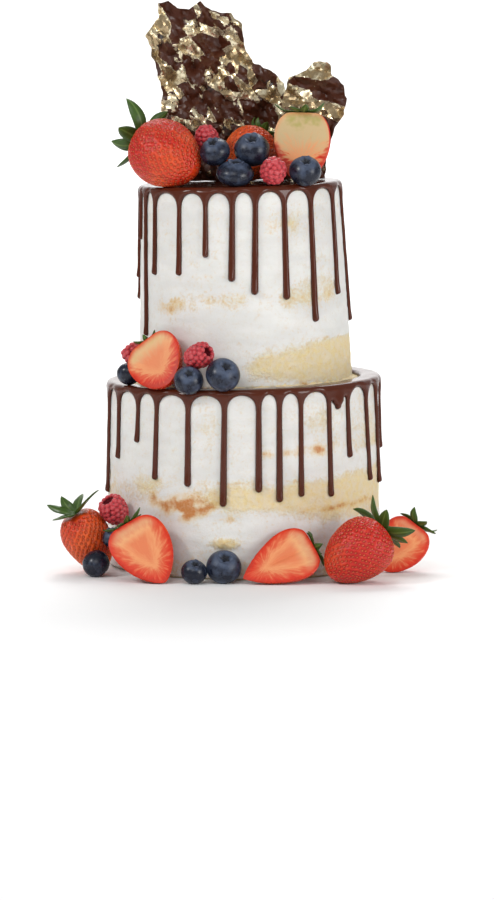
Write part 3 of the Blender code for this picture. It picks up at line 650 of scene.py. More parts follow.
UPPER_BARE = (
    (-40, 12, 36, 11, 1.4), (-78, 12, 16, 8, 0.9), (-130, 46, 16, 7, 0.7), (-97, 49, 16, 6, 0.6),
    (-60, 50, 14, 8, 0.6), (-34, 50, 12, 8, 0.6), (-62, 88, 10, 8, 0.5), (-15, 14, 26, 12, 1.3),
    (40, 13, 46, 13, 1.1), (120, 14, 46, 13, 1.1), (-165, 14, 24, 11, 1.0), (70, 48, 50, 8, 0.7),
)
UPPER_TOAST = (
    (-133, 45, 13, 5.5, 0.85), (-100, 49, 12, 5, 0.6), (-60, 49, 10, 6, 0.6), (-33, 49, 9, 5, 0.6),
    (-112, 62, 9, 3, 0.4), (-75, 88, 10, 6, 0.35), (-45, 25.5, 24, 1.2, 0.6), (-60, 1.5, 30, 1.4, 0.7),
    (60, 46, 40, 5, 0.7), (130, 48, 30, 5, 0.8), (150, 25.5, 50, 1.2, 0.6),
)
CRUMB_DAB = (-97.5, 20.0, 7.0, 3.5)  # where crumbs stick out of the lower coat, in the same measures


def coat_rows(tier, top_start):
    """Reaches of a coat's rings, from its top to its hem."""
    bottom = tier.wall_start + tier.height - RIM_ROUND - COAT_HEM
    top = np.arange(top_start, tier.flat, COAT_STEP * 1.4)
    turn = np.linspace(tier.flat, tier.wall_start, 4)
    wall = np.linspace(tier.wall_start, bottom, round((bottom - tier.wall_start) / COAT_STEP))
    return np.concatenate([top, turn, wall[1:]])


def wall_bands(z, levels):
    """How near each height is to a filling, where the cream is thick, from 0 to 1."""
    thick = np.zeros_like(z)
    for low, high in levels:
        middle = (low + high) / 2 * MM
        thick = np.maximum(thick, 1 - smooth(np.abs(z - middle), 3 * MM, 7 * MM))
    return thick


def make_coat(name, tier, top_start, fillings, bare_patches, toast_patches, sizes, material, bead=0.0):
    """A scraped coat of buttercream, thin enough in places for the sponge to show."""
    rows = coat_rows(tier, top_start)
    columns = circle(COAT_COLUMNS)
    angle, reach = (grid.ravel() for grid in np.meshgrid(columns, rows))
    z = tier.wall_z(reach)
    around = compass(angle)
    round_place = np.column_stack([around[:, :2] * tier.rim_radius, z])
    broad = noise_at(round_place, BROAD_LUMP, 3.1)
    fine = noise_at(round_place, FINE_LUMP, 7.7)
    small = noise_at(round_place, SMALL_LUMP, 1.7)
    streaks = noise_at(round_place * (STREAK_SHARE, STREAK_SHARE, 1.0), STREAK, 5.0)
    thick = wall_bands(z, fillings)
    # For the lower tier these patches also hold painted shade and warm reflected light along its front foot.
    bare = sum(s * patch(angle, z, a, h, w, t) for a, h, w, t, s in bare_patches)
    bare = np.clip(bare * (1 - 0.85 * thick) + 0.45 * broad + 0.25 * fine + 0.1 * streaks, -0.5, 1.5)
    toast = sum(s * patch(angle, z, a, h, w, t) for a, h, w, t, s in toast_patches)
    toast = np.clip(toast * (0.75 + 0.9 * fine + 0.3 * small), 0, 1.4)
    wall = reach > tier.wall_start
    bare, toast = np.where(wall, bare, 1.4 + 0.6 * fine), np.where(wall, toast, 0.15 + 0.4 * small)
    depth = sizes.scrape * (0.45 + 0.35 * broad + 0.35 * streaks) * (1 - 0.6 * thick)
    depth += sizes.crumb * np.clip(bare, 0, 1) * (0.5 + 0.7 * fine + 0.8 * small)
    depth = np.where(wall, depth, sizes.scrape * (0.5 + 0.3 * fine))
    if bead:
        lumps = 0.6 + 0.4 * noise_at(around, 0.16, 2.2) + 0.45 * noise_at(round_place, 3.5 * MM, 9.0)
        near = 1 - smooth(np.abs(reach - top_start - BEAD_WIDTH * 0.25), 0, BEAD_WIDTH * 0.8)
        depth -= bead * near * np.clip(lumps, 0, 1.2)
        dab = patch(angle, z, *CRUMB_DAB)
        depth -= sizes.scrape * 3 * dab * np.clip(0.6 + fine + 0.7 * small, 0, 2)
        bare, toast = np.maximum(bare, 1.2 * dab), np.maximum(toast, 0.45 * dab * (1 + small))
    points = tier.skin(angle, reach, -depth).reshape(len(rows), COAT_COLUMNS, 3)
    hem_z = tier.height - RIM_ROUND - (rows[-1] - tier.wall_start)

    def ring(radius, height):
        return tier.place(np.full(COAT_COLUMNS, radius), columns, height)

    under = [ring(tier.wall_radius(height) - COAT, height) for height in (hem_z, tier.height - COAT)]
    points, faces = loft([*points, *under, ring(top_start, tier.height - COAT), points[0]])
    spare = len(points) - len(bare)
    attributes = {"bare": np.pad(bare, (0, spare)), "toast": np.pad(toast, (0, spare))}
    return make_mesh(name, points, faces, [material], attributes)


def cream_finish(colours):
    """Buttercream with sponge and its crust showing where the coat is thin, and with painted shade and
    warm reflected light along the lower tier's foot.
    """
    finish = Finish("scraped buttercream")
    bare, toast = finish.attribute("bare"), finish.attribute("toast")
    crumbs = finish.noise(1.5 * MM, 4, 0.65)
    grains = finish.noise(3.4 * MM, 4, 0.7)
    smears = finish.noise(9 * MM, 3, 0.5, stretch=(0.35, 0.35, 1.0))
    thin = bare + 0.5 * (crumbs - 0.5) + 0.6 * (grains - 0.5) + 0.4 * (smears - 0.5)
    shows = finish.step(thin, 0.25, 0.95)
    crust = finish.step(toast + 0.9 * (crumbs - 0.5) + 0.5 * (grains - 0.5), 0.1, 0.9)
    dark = finish.step(toast + 1.2 * (crumbs - 0.5) + 0.5 * (grains - 0.5), 0.6, 1.5)
    cream = finish.mix(0.5 * finish.step(smears, 0.3, 0.7), colours.cream, (0.62, 0.61, 0.59))
    cream = finish.mix(0.3 * finish.step(grains, 0.45, 0.7), cream, (0.66, 0.61, 0.52))
    sponge = finish.mix(0.55 * finish.step(grains, 0.38, 0.62), colours.crumb, colours.cream)
    sponge = finish.mix(0.55 * finish.step(crumbs, 0.56, 0.72), sponge, colours.toast)
    colour = finish.mix(0.9 * shows, cream, sponge)
    flecks = finish.step(crumbs + 0.5 * grains + 0.3 * bare, 0.8, 1.05)
    colour = finish.mix(0.28 * flecks, colour, colours.toast)
    colour = finish.mix(0.65 * crust, colour, colours.toast)
    colour = finish.mix(0.9 * dark, colour, colours.caramel)
    height = 0.5 * smears + (0.4 + 0.9 * shows) * crumbs + 0.9 * shows * grains
    finish.bump(height, 0.5 * MM, 0.9)
    finish.set(Subsurface_Weight=0.05, Subsurface_Scale=2 * MM)
    return finish.set(Base_Color=colour, Roughness=0.5 + 0.3 * shows)


def sponge_finish(colours):
    """Open crumb, as the underside shows it, with painted shade in its pores."""
    finish = Finish("sponge crumb")
    holes = finish.step(finish.cells(2.4 * MM), 0.05, 0.45)
    crumbs = finish.noise(1.2 * MM, 5, 0.6)
    # Painted shade: the crust colour darkens the pores, where the crumb lies in shadow.
    colour = finish.mix(holes, colours.toast, colours.crumb)
    colour = finish.mix(0.5 * crumbs, colour, colours.cream)
    finish.bump(0.6 * holes + 0.5 * crumbs, 0.5 * MM)
    return finish.set(Base_Color=colour, Roughness=0.9)


# Ganache


def all_drips(front, rng):
    """The drips that the photograph shows, and more like them round the back."""
    drips, angle = list(front), BACK_ARC[0]
    while angle < BACK_ARC[1]:
        drips.append((angle, rng.uniform(30, 72), rng.uniform(1.2, 1.6), rng.uniform(-1, 1)))
        angle += BACK_DRIP_STEP * rng.uniform(0.75, 1.2)
    units = (math.radians(1), MM, MM, math.radians(1))
    return sorted(tuple(number * unit for number, unit in zip(drip, units)) for drip in drips)


def drip_outline(tier, drips):
    """The ganache's lower edge, as (angle, reach): each drip's tip, then an arch to the next drip."""
    rim = tier.wall_start
    outline = []
    for (angle, length, half, drift), following in zip(drips, drips[1:] + [drips[0]]):
        next_angle, next_length, next_half, _ = following
        if next_angle < angle:
            next_angle += math.tau
        tip = half * (WIDE_TIP if half > WIDE_DRIP else TIP_SWELL)
        for i in range(TIP_POINTS + 1):
            turn = math.pi * i / TIP_POINTS
            depth = length - tip + tip * math.sin(turn)
            across = angle + drift * depth / length - tip * math.cos(turn) / tier.rim_radius
            outline.append((across, rim + depth - RIM_ROUND))
        left = angle + half / tier.rim_radius
        right = next_angle - next_half / tier.rim_radius
        width = (right - left) * tier.rim_radius
        crown = CROWN_DROP + max(0.0, WEB_WIDTH - width) * WEB_DEPTH
        springing = crown + min(NECK, width, 0.5 * length, 0.5 * next_length)
        for i in range(ARCH_POINTS + 1):
            turn = math.pi * i / ARCH_POINTS
            across = (left + right) / 2 - (right - left) / 2 * math.cos(turn)
            outline.append((across, rim + springing - (springing - crown) * math.sin(turn) ** ARCH_POWER))
    return np.array(outline)


def make_ganache(name, tier, drips, inner_reach, sizes, material):
    """Ganache over the rim, rounded at its edges and fuller at the tips of its drips."""
    rim = tier.rim_radius

    def unroll(angle, reach):
        """Onto a plane that keeps small shapes as they are on the cake."""
        far = np.where(reach > rim, rim * np.exp((reach - rim) / rim), reach)
        return np.stack([far * np.cos(angle), far * np.sin(angle)], axis=-1)

    around = math.tau * rim
    loops = [split_long(drip_outline(tier, drips) * (rim, 1.0), 1.0 * MM, around)]
    if inner_reach:
        turns = circle(INNER_POINTS)
        ragged = noise_at(compass(turns), 0.12, 4.0)
        loops.append(np.stack([turns * rim, inner_reach + INNER_RAG * ragged], axis=1))
    extra, reach, row = [], inner_reach + GANACHE_TOP_STEP, 0
    while reach < loops[0][:, 1].max():
        fine = reach > tier.flat - GANACHE_FINE
        step = GANACHE_STEP if fine else GANACHE_TOP_STEP
        turns = circle(round(math.tau * min(reach, rim) / step), 0.5 * (row % 2))
        extra.append(np.stack([turns * rim, np.full(len(turns), reach)], axis=1))
        reach += step * ROW_SPACING
        row += 1
    extra = np.concatenate(extra)
    depth = distance_to(loops, extra, around)
    near_drips = (depth < 2 * GANACHE_ROLL) | (extra[:, 1] < tier.wall_start + NECK)
    extra = extra[(depth > EDGE_CLEARANCE * GANACHE_STEP) & near_drips]
    flat_loops = [unroll(loop[:, 0] / rim, loop[:, 1]) for loop in loops]
    flat_extra = unroll(extra[:, 0] / rim, extra[:, 1])
    if not inner_reach:
        flat_extra = np.concatenate([flat_extra, [(0.0, 0.0)]])
    flat, faces, on_rim = fill(flat_loops, flat_extra)
    angle, far = np.arctan2(flat[:, 1], flat[:, 0]), np.hypot(*flat.T)
    reach = np.where(far > rim, rim + rim * np.log(np.maximum(far, rim) / rim), far)
    places = np.stack([angle * rim, reach], axis=1)
    share = np.minimum(distance_to(loops, places, around) / GANACHE_ROLL, 1)
    full = np.zeros(len(flat))
    for a, length, half, drift in drips:
        tip = np.array(((a + drift) * rim, tier.wall_start + length - RIM_ROUND - half))
        offset = places - tip
        offset[:, 0] -= around * np.round(offset[:, 0] / around)
        full = np.maximum(full, np.exp(-((offset / TIP_FULLNESS) ** 2).sum(axis=1)))
    top = tier.skin(angle, reach, 0.0)
    wavy = 1 + 0.1 * noise_at(top, 9 * MM, 3.0) + 0.35 * full
    thickness = sizes.ganache * np.sqrt(share * (2 - share)) * wavy
    sink = GAP - GANACHE_SINK
    points = tier.skin(angle, reach, np.where(on_rim, sink, sink + GANACHE_SINK * share + thickness))
    used = np.unique(faces)
    new = np.full(len(flat), -1)
    new[used] = np.arange(len(used))
    inner = used[~on_rim[used]]
    lower = new.copy()
    lower[inner] = len(used) + np.arange(len(inner))
    under = tier.skin(angle[inner], reach[inner], sink)
    faces = np.concatenate([new[faces], lower[faces][:, ::-1]]).tolist()
    return make_mesh(name, np.concatenate([points[used], under]), faces, [material])


def ganache_finish(colours):
    """Smooth set ganache."""
    finish = Finish("ganache")
    cloud = finish.noise(14 * MM, 3, 0.5)
    colour = finish.mix(0.3 * cloud, colours.ganache, (0.11, 0.036, 0.018))
    finish.bump(finish.noise(5 * MM, 2, 0.4), 0.12 * MM, 0.5)
    return finish.set(Base_Color=colour, Roughness=0.12 + 0.1 * cloud, Specular_IOR_Level=0.3)


# Strawberries


def strawberry_radius(share, tip):
    """Radius of a strawberry of unit radius, from its tip at 0 to its shoulder at 1."""
    widest = tip / (tip + SHOULDER_POWER)
    return (share / widest) ** tip * ((1 - share) / (1 - widest)) ** SHOULDER_POWER


def strawberry_skin(share, angle, length, width, seed, tip=TIP_POWER):
    """Points on a strawberry's skin, tip down, about the middle of its length."""
    places = np.stack([np.cos(angle) + seed, np.sin(angle), share * 2], axis=-1).reshape(-1, 3)
    bumps = 1 + 0.05 * noise_at(places, 1.0).reshape(np.shape(angle))
    radius = width / 2 * strawberry_radius(share, tip) * bumps
    near_top = np.clip((share - 0.93) / 0.07, 0, 1)
    rounded = 0.43 + (SHOULDER - 0.43) * np.sin(near_top * math.pi / 2)
    z = np.where(share < 0.93, share - 0.5, rounded) * length
    return np.stack([radius * np.cos(angle), STRAWBERRY_FLATNESS * radius * np.sin(angle), z], axis=-1)


def ring_shares():
    """How far up a strawberry each ring of its mesh lies, closer together at both ends."""
    return (1 - np.cos(np.linspace(0, math.pi, STRAWBERRY_RINGS + 2)[1:-1])) / 2


def seed_places(length, width, rng, tip=TIP_POWER):
    """(share, angle) of each seed, in the spirals that they grow in."""
    shares = np.linspace(0.012, 0.95, 240)
    ring = strawberry_skin(shares, np.zeros(240), length, width, 0, tip)
    strip = np.hypot(*np.diff(ring[:, (0, 2)], axis=0).T) * (ring[1:, 0] + ring[:-1, 0]) * math.pi
    area = np.concatenate([[0], np.cumsum(strip)])
    count = int(area[-1] / SEED_SPREAD**2)
    golden = math.pi * (3 - math.sqrt(5))
    at = (np.arange(count) + np.array([rng.uniform(0.3, 0.7) for _ in range(count)])) / count
    turns = np.arange(count) * golden + np.array([rng.uniform(-0.05, 0.05) for _ in range(count)])
    return np.interp(at * area[-1], area, shares), turns


def seed_mesh(middle, out, up, length, points, faces):
    """Adds one seed, lying along up."""
    side = np.cross(out, up)
    first = len(points)
    for turn in (-0.55, 0.1, 0.7):
        for angle in circle(6):
            ring = math.cos(turn * 1.3)
            spread = side * math.cos(angle) * ring * length * 0.3
            spread = spread + out * math.sin(angle) * ring * length * 0.24
            points.append(middle + spread + up * turn * length * 0.6)
    points += [middle - up * length * 0.52, middle + up * length * 0.5]
    for row in (0, 1):
        for i in range(6):
            j = (i + 1) % 6
            a, b = first + row * 6, first + row * 6 + 6
            faces.append((a + i, a + j, b + j, b + i))
    for i in range(6):
        j = (i + 1) % 6
        faces.append((first + 18, first + j, first + i))
        faces.append((first + 19, first + 12 + i, first + 12 + j))


def dimple(points, normals, middles, reach, depth):
    """The points drawn in about each middle, and how deep each lies, from 0 to 1."""
    pit = np.zeros(len(points))
    for middle in middles:
        near = np.linalg.norm(points - middle, axis=1) / reach
        pit = np.maximum(pit, np.clip(1 - near**2, 0, 1) ** 2)
    return points - normals * (pit * depth)[:, None], pit


def grid_normals(points):
    """Outward normals of a grid of points that runs round and then up a rounded shape about the Z axis."""
    along = np.gradient(points, axis=0)
    around = np.roll(points, -1, axis=1) - np.roll(points, 1, axis=1)
    normals = np.cross(around, along)
    length = np.linalg.norm(normals, axis=-1, keepdims=True)
    return normals / np.maximum(length, 1e-12)


def make_seeds(name, places, skin, turn, move, length, material):
    """Adds the seeds of one strawberry, as one piece. skin gives the point at a share and an angle."""
    points, faces = [], []
    small = 1e-3
    for share, angle in places:
        middle = skin(share, angle)
        up = skin(min(share + small, 0.96), angle) - middle
        round_ = skin(share, angle + small) - middle
        out = np.cross(round_, up)
        out /= np.linalg.norm(out)
        up /= np.linalg.norm(up)
        seed_mesh(middle - out * length * 0.22, out, up, length, points, faces)
    placed = np.array(points) @ turn.T + move
    placed[:, 2] = np.maximum(placed[:, 2], 0.0)
    make_mesh(name, placed, faces, [material])


def make_strawberry(node, number, sizes, materials):
    """A whole strawberry with its seeds and leaves."""
    (length, width), axis, leaf, ripe = STRAWBERRIES[node]
    length, width = length * MM, width * MM
    rng = random.Random(number)
    angle, shares = np.meshgrid(circle(STRAWBERRY_SIDES), ring_shares())
    grid = strawberry_skin(shares, angle, length, width, number)
    normals = grid_normals(grid).reshape(-1, 3)
    grid = grid.reshape(-1, 3)
    turn = turned(axis)
    move = lay(grid, turn, node)

    def skin(at, around):
        return strawberry_skin(np.array(at), np.array(around), length, width, number)

    seeds = list(zip(*seed_places(length, width, rng)))
    middles = [skin(at, around) for at, around in seeds]
    dented, pit = dimple(grid, normals, middles, SEED_HOLLOW, sizes.dimple)
    rings = dented.reshape(STRAWBERRY_RINGS, -1, 3)
    points, faces = loft([pole(-0.5 * length), *rings, pole(SHOULDER * length)])
    tone = ripe + 0.35 * noise_at(points, 14 * MM, number) + 0.25 * (points[:, 2] / length)
    attributes = {"ripe": tone, "pit": np.pad(pit, (1, 1))}
    obj = make_mesh(f"{node}_skin", points @ turn.T + move, faces, [materials["skin"]], attributes)
    stand_for(node)
    make_seeds(f"{node}_seeds", seeds, skin, turn, move, sizes.seed, materials["seed"])
    top = np.array((0, 0, SHOULDER * length + GAP))
    make_leaves(f"{node}_leaves", leaf * MM, LEAF_LIFT, top, turn, move, sizes, materials["leaf"], number)


def make_half(node, number, sizes, materials, flesh):
    """Half a strawberry, cut face out, with its seeds and leaves."""
    (length, width), axis, face, leaf, lift, tip, _ = HALVES[node]
    length, width = length * MM, width * MM
    rng = random.Random(number + 40)
    seed = number + 10
    angle, shares = np.meshgrid(np.linspace(0, math.pi, STRAWBERRY_SIDES // 2 + 1), ring_shares())
    back = strawberry_skin(shares, angle, length, width, seed, tip)
    normals = grid_normals(np.concatenate([back, back[:, ::-1]], axis=1))[:, : back.shape[1]]
    turn = turned(axis, face)
    move = lay(back.reshape(-1, 3), turn, node)

    def skin(at, around):
        return strawberry_skin(np.array(at), np.array(around), length, width, seed, tip)

    seeds = [(at, around % math.tau) for at, around in zip(*seed_places(length, width, rng, tip))]
    seeds = [(at, around) for at, around in seeds if 0.12 < around < math.pi - 0.12]
    middles = [skin(at, around) for at, around in seeds]
    dented, pit = dimple(back.reshape(-1, 3), normals.reshape(-1, 3), middles, SEED_HOLLOW, sizes.dimple)
    dented, pit = dented.reshape(back.shape), pit.reshape(back.shape[:2])
    dented[:, (0, -1), 1] = 0.25 * MM
    across = np.linspace(-1, 1, FACE_COLUMNS + 2)[1:-1]
    left, right = back[:, -1], back[:, 0]
    flat = left[:, None] + (right - left)[:, None] * (across[None, :, None] + 1) / 2
    shape = np.concatenate([back[:, 0], back[::-1, -1]])[:, (0, 2)]
    edge = distance_to([shape], flat[..., (0, 2)].reshape(-1, 2)).reshape(flat.shape[:2]) / (0.5 * width)
    slit = np.exp(-((flat[..., 0] / (0.8 * MM)) ** 2)) * smooth(flat[..., 2] / length, -0.15, 0.05)
    slit *= (1 - smooth(flat[..., 2] / length, 0.25, 0.4)) * (node == SLIT_HALF)
    flat[..., 1] = -0.5 * MM * np.sqrt(np.clip(edge * 2, 0, 1)) + 0.9 * MM * slit
    rings = np.concatenate([dented, flat], axis=1)
    count = rings.shape[1]
    points, faces = loft([pole(-0.5 * length), *rings, pole(SHOULDER * length)])
    fields = {
        "pit": np.concatenate([pit, np.zeros(flat.shape[:2])], axis=1),
        "edge": np.concatenate([np.zeros(pit.shape), edge], axis=1),
        "across": np.concatenate([dented[..., 0], flat[..., 0]], axis=1) / (0.5 * width),
        "along": np.concatenate([dented[..., 2], flat[..., 2]], axis=1) / (0.5 * length),
    }
    attributes = {key: np.pad(values.ravel(), (1, 1)) for key, values in fields.items()}
    attributes["along"][0], attributes["along"][-1] = -1, 1
    attributes["ripe"] = 0.6 + 0.35 * noise_at(points, 14 * MM, number)
    corner = np.arange(len(points))
    on_face = ((corner - 1) % count >= back.shape[1] - 1) | (corner == 0) | (corner == len(points) - 1)
    kinds = [int(on_face[face].all()) for face in faces]
    placed = points @ turn.T + move
    looks = [materials["skin"], flesh]
    obj = make_mesh(f"{node}_cut", placed, faces, looks, attributes, sharp_angle=60, face_materials=kinds)
    stand_for(node)
    make_seeds(f"{node}_seeds", seeds, skin, turn, move, sizes.seed, materials["seed"])
    top = np.array((0, HALF_LEAF_BACK * width, SHOULDER * length + GAP))
    make_leaves(f"{node}_leaves", leaf * MM, lift, top, turn, move, sizes, materials["leaf"], seed)


def make_leaves(node, reach, rise, top, turn, move, sizes, material, seed):
    """A strawberry's leaves, each folded along its middle and curled."""
    rng = random.Random(seed)
    rows, columns = LEAF_ROWS, LEAF_COLUMNS
    points, faces, middle_rib = [], [], []
    for angle in circle(LEAVES, 0.5):
        angle += rng.uniform(-0.18, 0.18)
        length = reach * rng.uniform(0.85, 1.25)
        lift = rise * rng.uniform(0.3, 1.2) * 1.2
        curl = rng.uniform(*LEAF_CURL)
        twist = rng.uniform(-LEAF_TWIST, LEAF_TWIST)
        out = np.array((math.cos(angle), math.sin(angle), 0))
        side = np.array((-out[1], out[0], 0))
        up = np.array((0, 0, 1.0))
        place, pitch = out * reach * 0.04, lift * 0.4
        first = len(points)
        for row in range(rows + 1):
            t = row / rows
            broad = reach * LEAF_BREADTH * math.sin(math.pi * (0.14 + 0.86 * t) ** 1.1) ** 0.8
            pitch = lift * (0.4 + 0.9 * t) + curl * max(0, t - 0.35)
            along = out * math.cos(pitch) + up * math.sin(pitch)
            normal = up * math.cos(pitch) - out * math.sin(pitch)
            tilt = side * math.cos(twist * t) + normal * math.sin(twist * t)
            for column in range(columns):
                u = column / (columns - 1) * 2 - 1
                ruffle = 0.08 * math.sin(9 * t + 3 * u + seed) * abs(u)
                points.append(place + tilt * u * broad + normal * (abs(u) * 0.3 + ruffle) * broad)
                middle_rib.append(1 - abs(u))
            place = place + along * length / rows
        for row in range(rows):
            for column in range(columns - 1):
                a = first + row * columns + column
                faces.append((a, a + 1, a + columns + 1, a + columns))
    placed = (np.array(points) + top) @ turn.T + move
    placed[:, 2] = np.maximum(placed[:, 2], sizes.leaf)
    obj = make_mesh(f"{node}_green", placed, faces, [material], {"rib": middle_rib})
    thicken = obj.modifiers.new("leaf thickness", "SOLIDIFY")
    thicken.thickness = sizes.leaf
    thicken.offset = 0.0
    stand_for(node)


def strawberry_finish(colours):
    """Glossy skin, redder where it is riper, darker in the dimples round the seeds as painted shade over
    the skin's own deeper red there, and paler on bumps between them as a painted highlight.
    """
    finish = Finish("strawberry skin")
    ripe, pit = finish.attribute("ripe"), finish.attribute("pit")
    cloud = finish.noise(7 * MM, 3)
    red = finish.step(ripe + 0.4 * cloud, 0.15, 0.95)
    colour = finish.mix(red, colours.unripe, colours.strawberry)
    # Painted highlight: the bumps between the seeds' dimples are paled, in patches, as if catching light.
    painted_bump_highlight = (1 - finish.step(pit, 0.0, 0.3)) * finish.step(finish.noise(1.8 * MM, 2), 0.4, 0.65)
    colour = finish.mix(0.35 * painted_bump_highlight, colour, colours.unripe)
    # Painted shade in the dimples round the seeds, over the skin's own deeper red there.
    colour = finish.mix(0.55 * finish.step(pit, 0.05, 0.8), colour, (0.32, 0.01, 0.006))
    finish.bump(finish.noise(1.7 * MM, 2), 0.5 * MM, 0.9)
    finish.set(Specular_IOR_Level=0.45, Subsurface_Weight=0.05, Subsurface_Scale=2 * MM)
    return finish.set(Base_Color=colour, Roughness=0.32 + 0.2 * pit)


def seed_finish(colours):
    finish = Finish("strawberry seed")
    colour = finish.mix(finish.noise(8 * MM, 1), colours.seed, (0.45, 0.07, 0.03))
    return finish.set(Base_Color=colour, Roughness=0.4)


def flesh_finish(name, colours, pale):
    """A cut face, red at its edge and pale round its core and at its shoulder, with threads in it."""
    finish = Finish(name)
    edge, across, along = finish.attribute("edge"), finish.attribute("across"), finish.attribute("along")
    high = along + 0.35
    far = (across * across + high * high) ** 0.5 + 0.05
    near = far**-1.0
    ray = finish.value("ShaderNodeCombineXYZ", None, {0: across * near, 1: high * near, 2: 0.25 * far})
    threads = finish.noise(0.11, 3, 0.55, place=ray)
    grain = finish.value("ShaderNodeCombineXYZ", None, {0: across, 1: 0.12 * along, 2: 0.0})
    lengthwise = finish.noise(0.1, 3, 0.6, place=grain)
    cloud = finish.noise(6 * MM, 2)
    shift = edge + 0.32 * (threads - 0.5) + 0.16 * (cloud - 0.5) + 0.1 * (lengthwise - 0.5)
    if pale:
        rise = along + 0.9 * (threads - 0.5)
        reddened = 1 - finish.step(rise, -0.7, 0.0)
        shift = shift + pale * (0.5 * finish.step(rise, -0.1, 0.5) - 0.35 * reddened)
    red = tuple(part * 0.8 for part in colours.flesh)
    both = list(zip(colours.flesh, colours.core))
    orange = tuple(f * 0.72 + c * 0.28 for f, c in both)
    heart = tuple(f * 0.45 * (1 - pale) + c * (0.55 + 0.45 * pale) for f, c in both)
    spread = 1 - 0.55 * pale
    stops = (
        (0.0, red),
        (0.12 * spread, colours.flesh),
        (0.34 * spread, orange),
        (0.56 * spread, colours.core),
        (0.78, heart),
    )
    colour = finish.ramp(shift, stops)
    rays = finish.step(threads, 0.52, 0.7) * finish.step(edge, 0.06, 0.2)
    rays = rays * (1 - finish.step(edge, 0.45, 0.65))
    colour = finish.mix(0.4 * rays, colour, colours.core)
    veins = finish.step(lengthwise, 0.56, 0.75) * finish.step(edge, 0.2, 0.4)
    colour = finish.mix(0.45 * veins, colour, colours.core)
    streaky = 0.3 * (cloud - 0.5) + 1.1 * pale * (threads - 0.5)
    shoulder = finish.step(along + streaky, 0.45 - 0.85 * pale, 0.95 - 0.55 * pale)
    shoulder = shoulder * finish.step(edge, 0.04 - 0.14 * pale, 0.3 - 0.1 * pale)
    # Painted shade on the shoulder, deepest on the palest half, which lies in the sails' shadow.
    shaded_shoulder = tuple(part * (1 - 0.24 * pale) for part in colours.shoulder)
    green = tuple(part * shade for part, shade in zip(shaded_shoulder, (0.72, 0.84, 0.5)))
    tinge = pale * finish.step(cloud + 0.5 * (along - 0.6), 0.45, 0.75)
    colour = finish.mix((0.55 + 0.4 * pale) * shoulder, colour, finish.mix(tinge, shaded_shoulder, green))
    finish.bump(threads + 0.6 * lengthwise, 0.15 * MM, 0.6)
    finish.set(Specular_IOR_Level=0.28, Subsurface_Weight=0.06, Subsurface_Scale=2 * MM)
    return finish.set(Base_Color=colour, Roughness=0.34 + 0.15 * threads)


def leaf_finish(colours):
    """Green, darker in patches, with a paler rib."""
    finish = Finish("strawberry leaf")
    rib = finish.attribute("rib")
    cloud = finish.noise(6 * MM, 3)
    colour = finish.mix(cloud, colours.leaf, (0.03, 0.065, 0.014))
    colour = finish.mix(0.5 * finish.step(rib, 0.8, 1.0), colour, (0.2, 0.3, 0.08))
    finish.bump(finish.noise(1.2 * MM, 3), 0.15 * MM, 0.5)
    return finish.set(Base_Color=colour, Roughness=0.4, Specular_IOR_Level=0.35)


# Blueberries and raspberries


def make_blueberry(node, number, material):
    """A blueberry with its five-pointed crown."""
    width, axis, bloom = BLUEBERRIES[node]
    width *= MM
    height = width * BLUEBERRY_FLATNESS.get(node, USUAL_FLATNESS)
    turns = circle(BLUEBERRY_SIDES)
    latitudes = np.radians(np.linspace(*BLUEBERRY_SKIN, BLUEBERRY_RINGS))
    rng = random.Random(number)
    lobes = np.abs(np.cos(2.5 * turns + rng.uniform(0, 1)))
    ragged = 0.03 * noise_at(compass(turns), 0.3, number)
    lobes = np.clip(lobes**0.8 + 3 * ragged, 0, 1)
    profile = [(math.cos(latitude), math.sin(latitude), 0.0) for latitude in latitudes]
    profile += [
        (0.36 + 0.03 * lobes, 0.92 + 0.04 * lobes, 0.0),
        (0.37 + 0.08 * lobes, 0.94 + 0.12 * lobes + ragged, 0.0),
        (0.33 + 0.07 * lobes, 0.94 + 0.12 * lobes + ragged, 0.15),
        (0.2 + 0.12 * (1 - lobes), 0.89 + 0.03 * lobes, 0.6),
        (0.14 + 0.1 * (1 - lobes), 0.82 - 0.01 * lobes, 1.0),
        (0.1 + 0.04 * (1 - lobes), 0.78, 1.0),
        (0.04, 0.78, 0.9),
    ]
    rings, crown = [pole(-height / 2)], [np.zeros(1)]
    for radius, up, in_crown in profile:
        across, along = radius * np.cos(turns) * width / 2, radius * np.sin(turns) * width / 2
        ring = np.stack([across, along, up * height / 2 + 0 * turns], axis=1)
        rings.append(ring * (1 + 0.02 * noise_at(ring, 5 * MM, number))[:, None])
        crown.append(np.full(BLUEBERRY_SIDES, in_crown))
    rings.append(pole(0.8 * height / 2))
    crown.append(np.ones(1))
    points, faces = loft(rings)
    halo = smooth(points[:, 2] / (height / 2), 0.6, 0.95)
    dust = bloom * (0.45 + 0.9 * halo) + 0.4 * noise_at(points, 5 * MM, number)
    dust = dust + 0.15 * noise_at(points, 1.6 * MM, number)
    turn = turned(axis)
    placed = points @ turn.T + lay(points, turn, node)
    attributes = {"crown": np.concatenate(crown), "bloom": np.clip(dust, 0, 1)}
    obj = make_mesh(f"{node}_fruit", placed, faces, [material], attributes)
    stand_for(node)


def blueberry_finish(colours):
    """Dark skin under a pale wax that has rubbed off in places, with painted shade in the crown's hollow."""
    finish = Finish("blueberry skin")
    bloom, crown = finish.attribute("bloom"), finish.attribute("crown")
    cloud = finish.noise(2.2 * MM, 4, 0.65)
    scuffs = finish.noise(5 * MM, 4, 0.7)
    dust = finish.step(bloom + 0.8 * cloud + 0.7 * scuffs - 0.75, 0.1, 0.9)
    colour = finish.mix(0.6 * dust, colours.blueberry, colours.bloom)
    # Painted shade: near black inside the crown's hollow.
    colour = finish.mix(0.85 * finish.step(crown, 0.2, 0.9), colour, (0.006, 0.006, 0.008))
    finish.bump(cloud, 0.06 * MM, 0.5)
    return finish.set(Base_Color=colour, Roughness=0.26 + 0.22 * dust, Specular_IOR_Level=0.35)


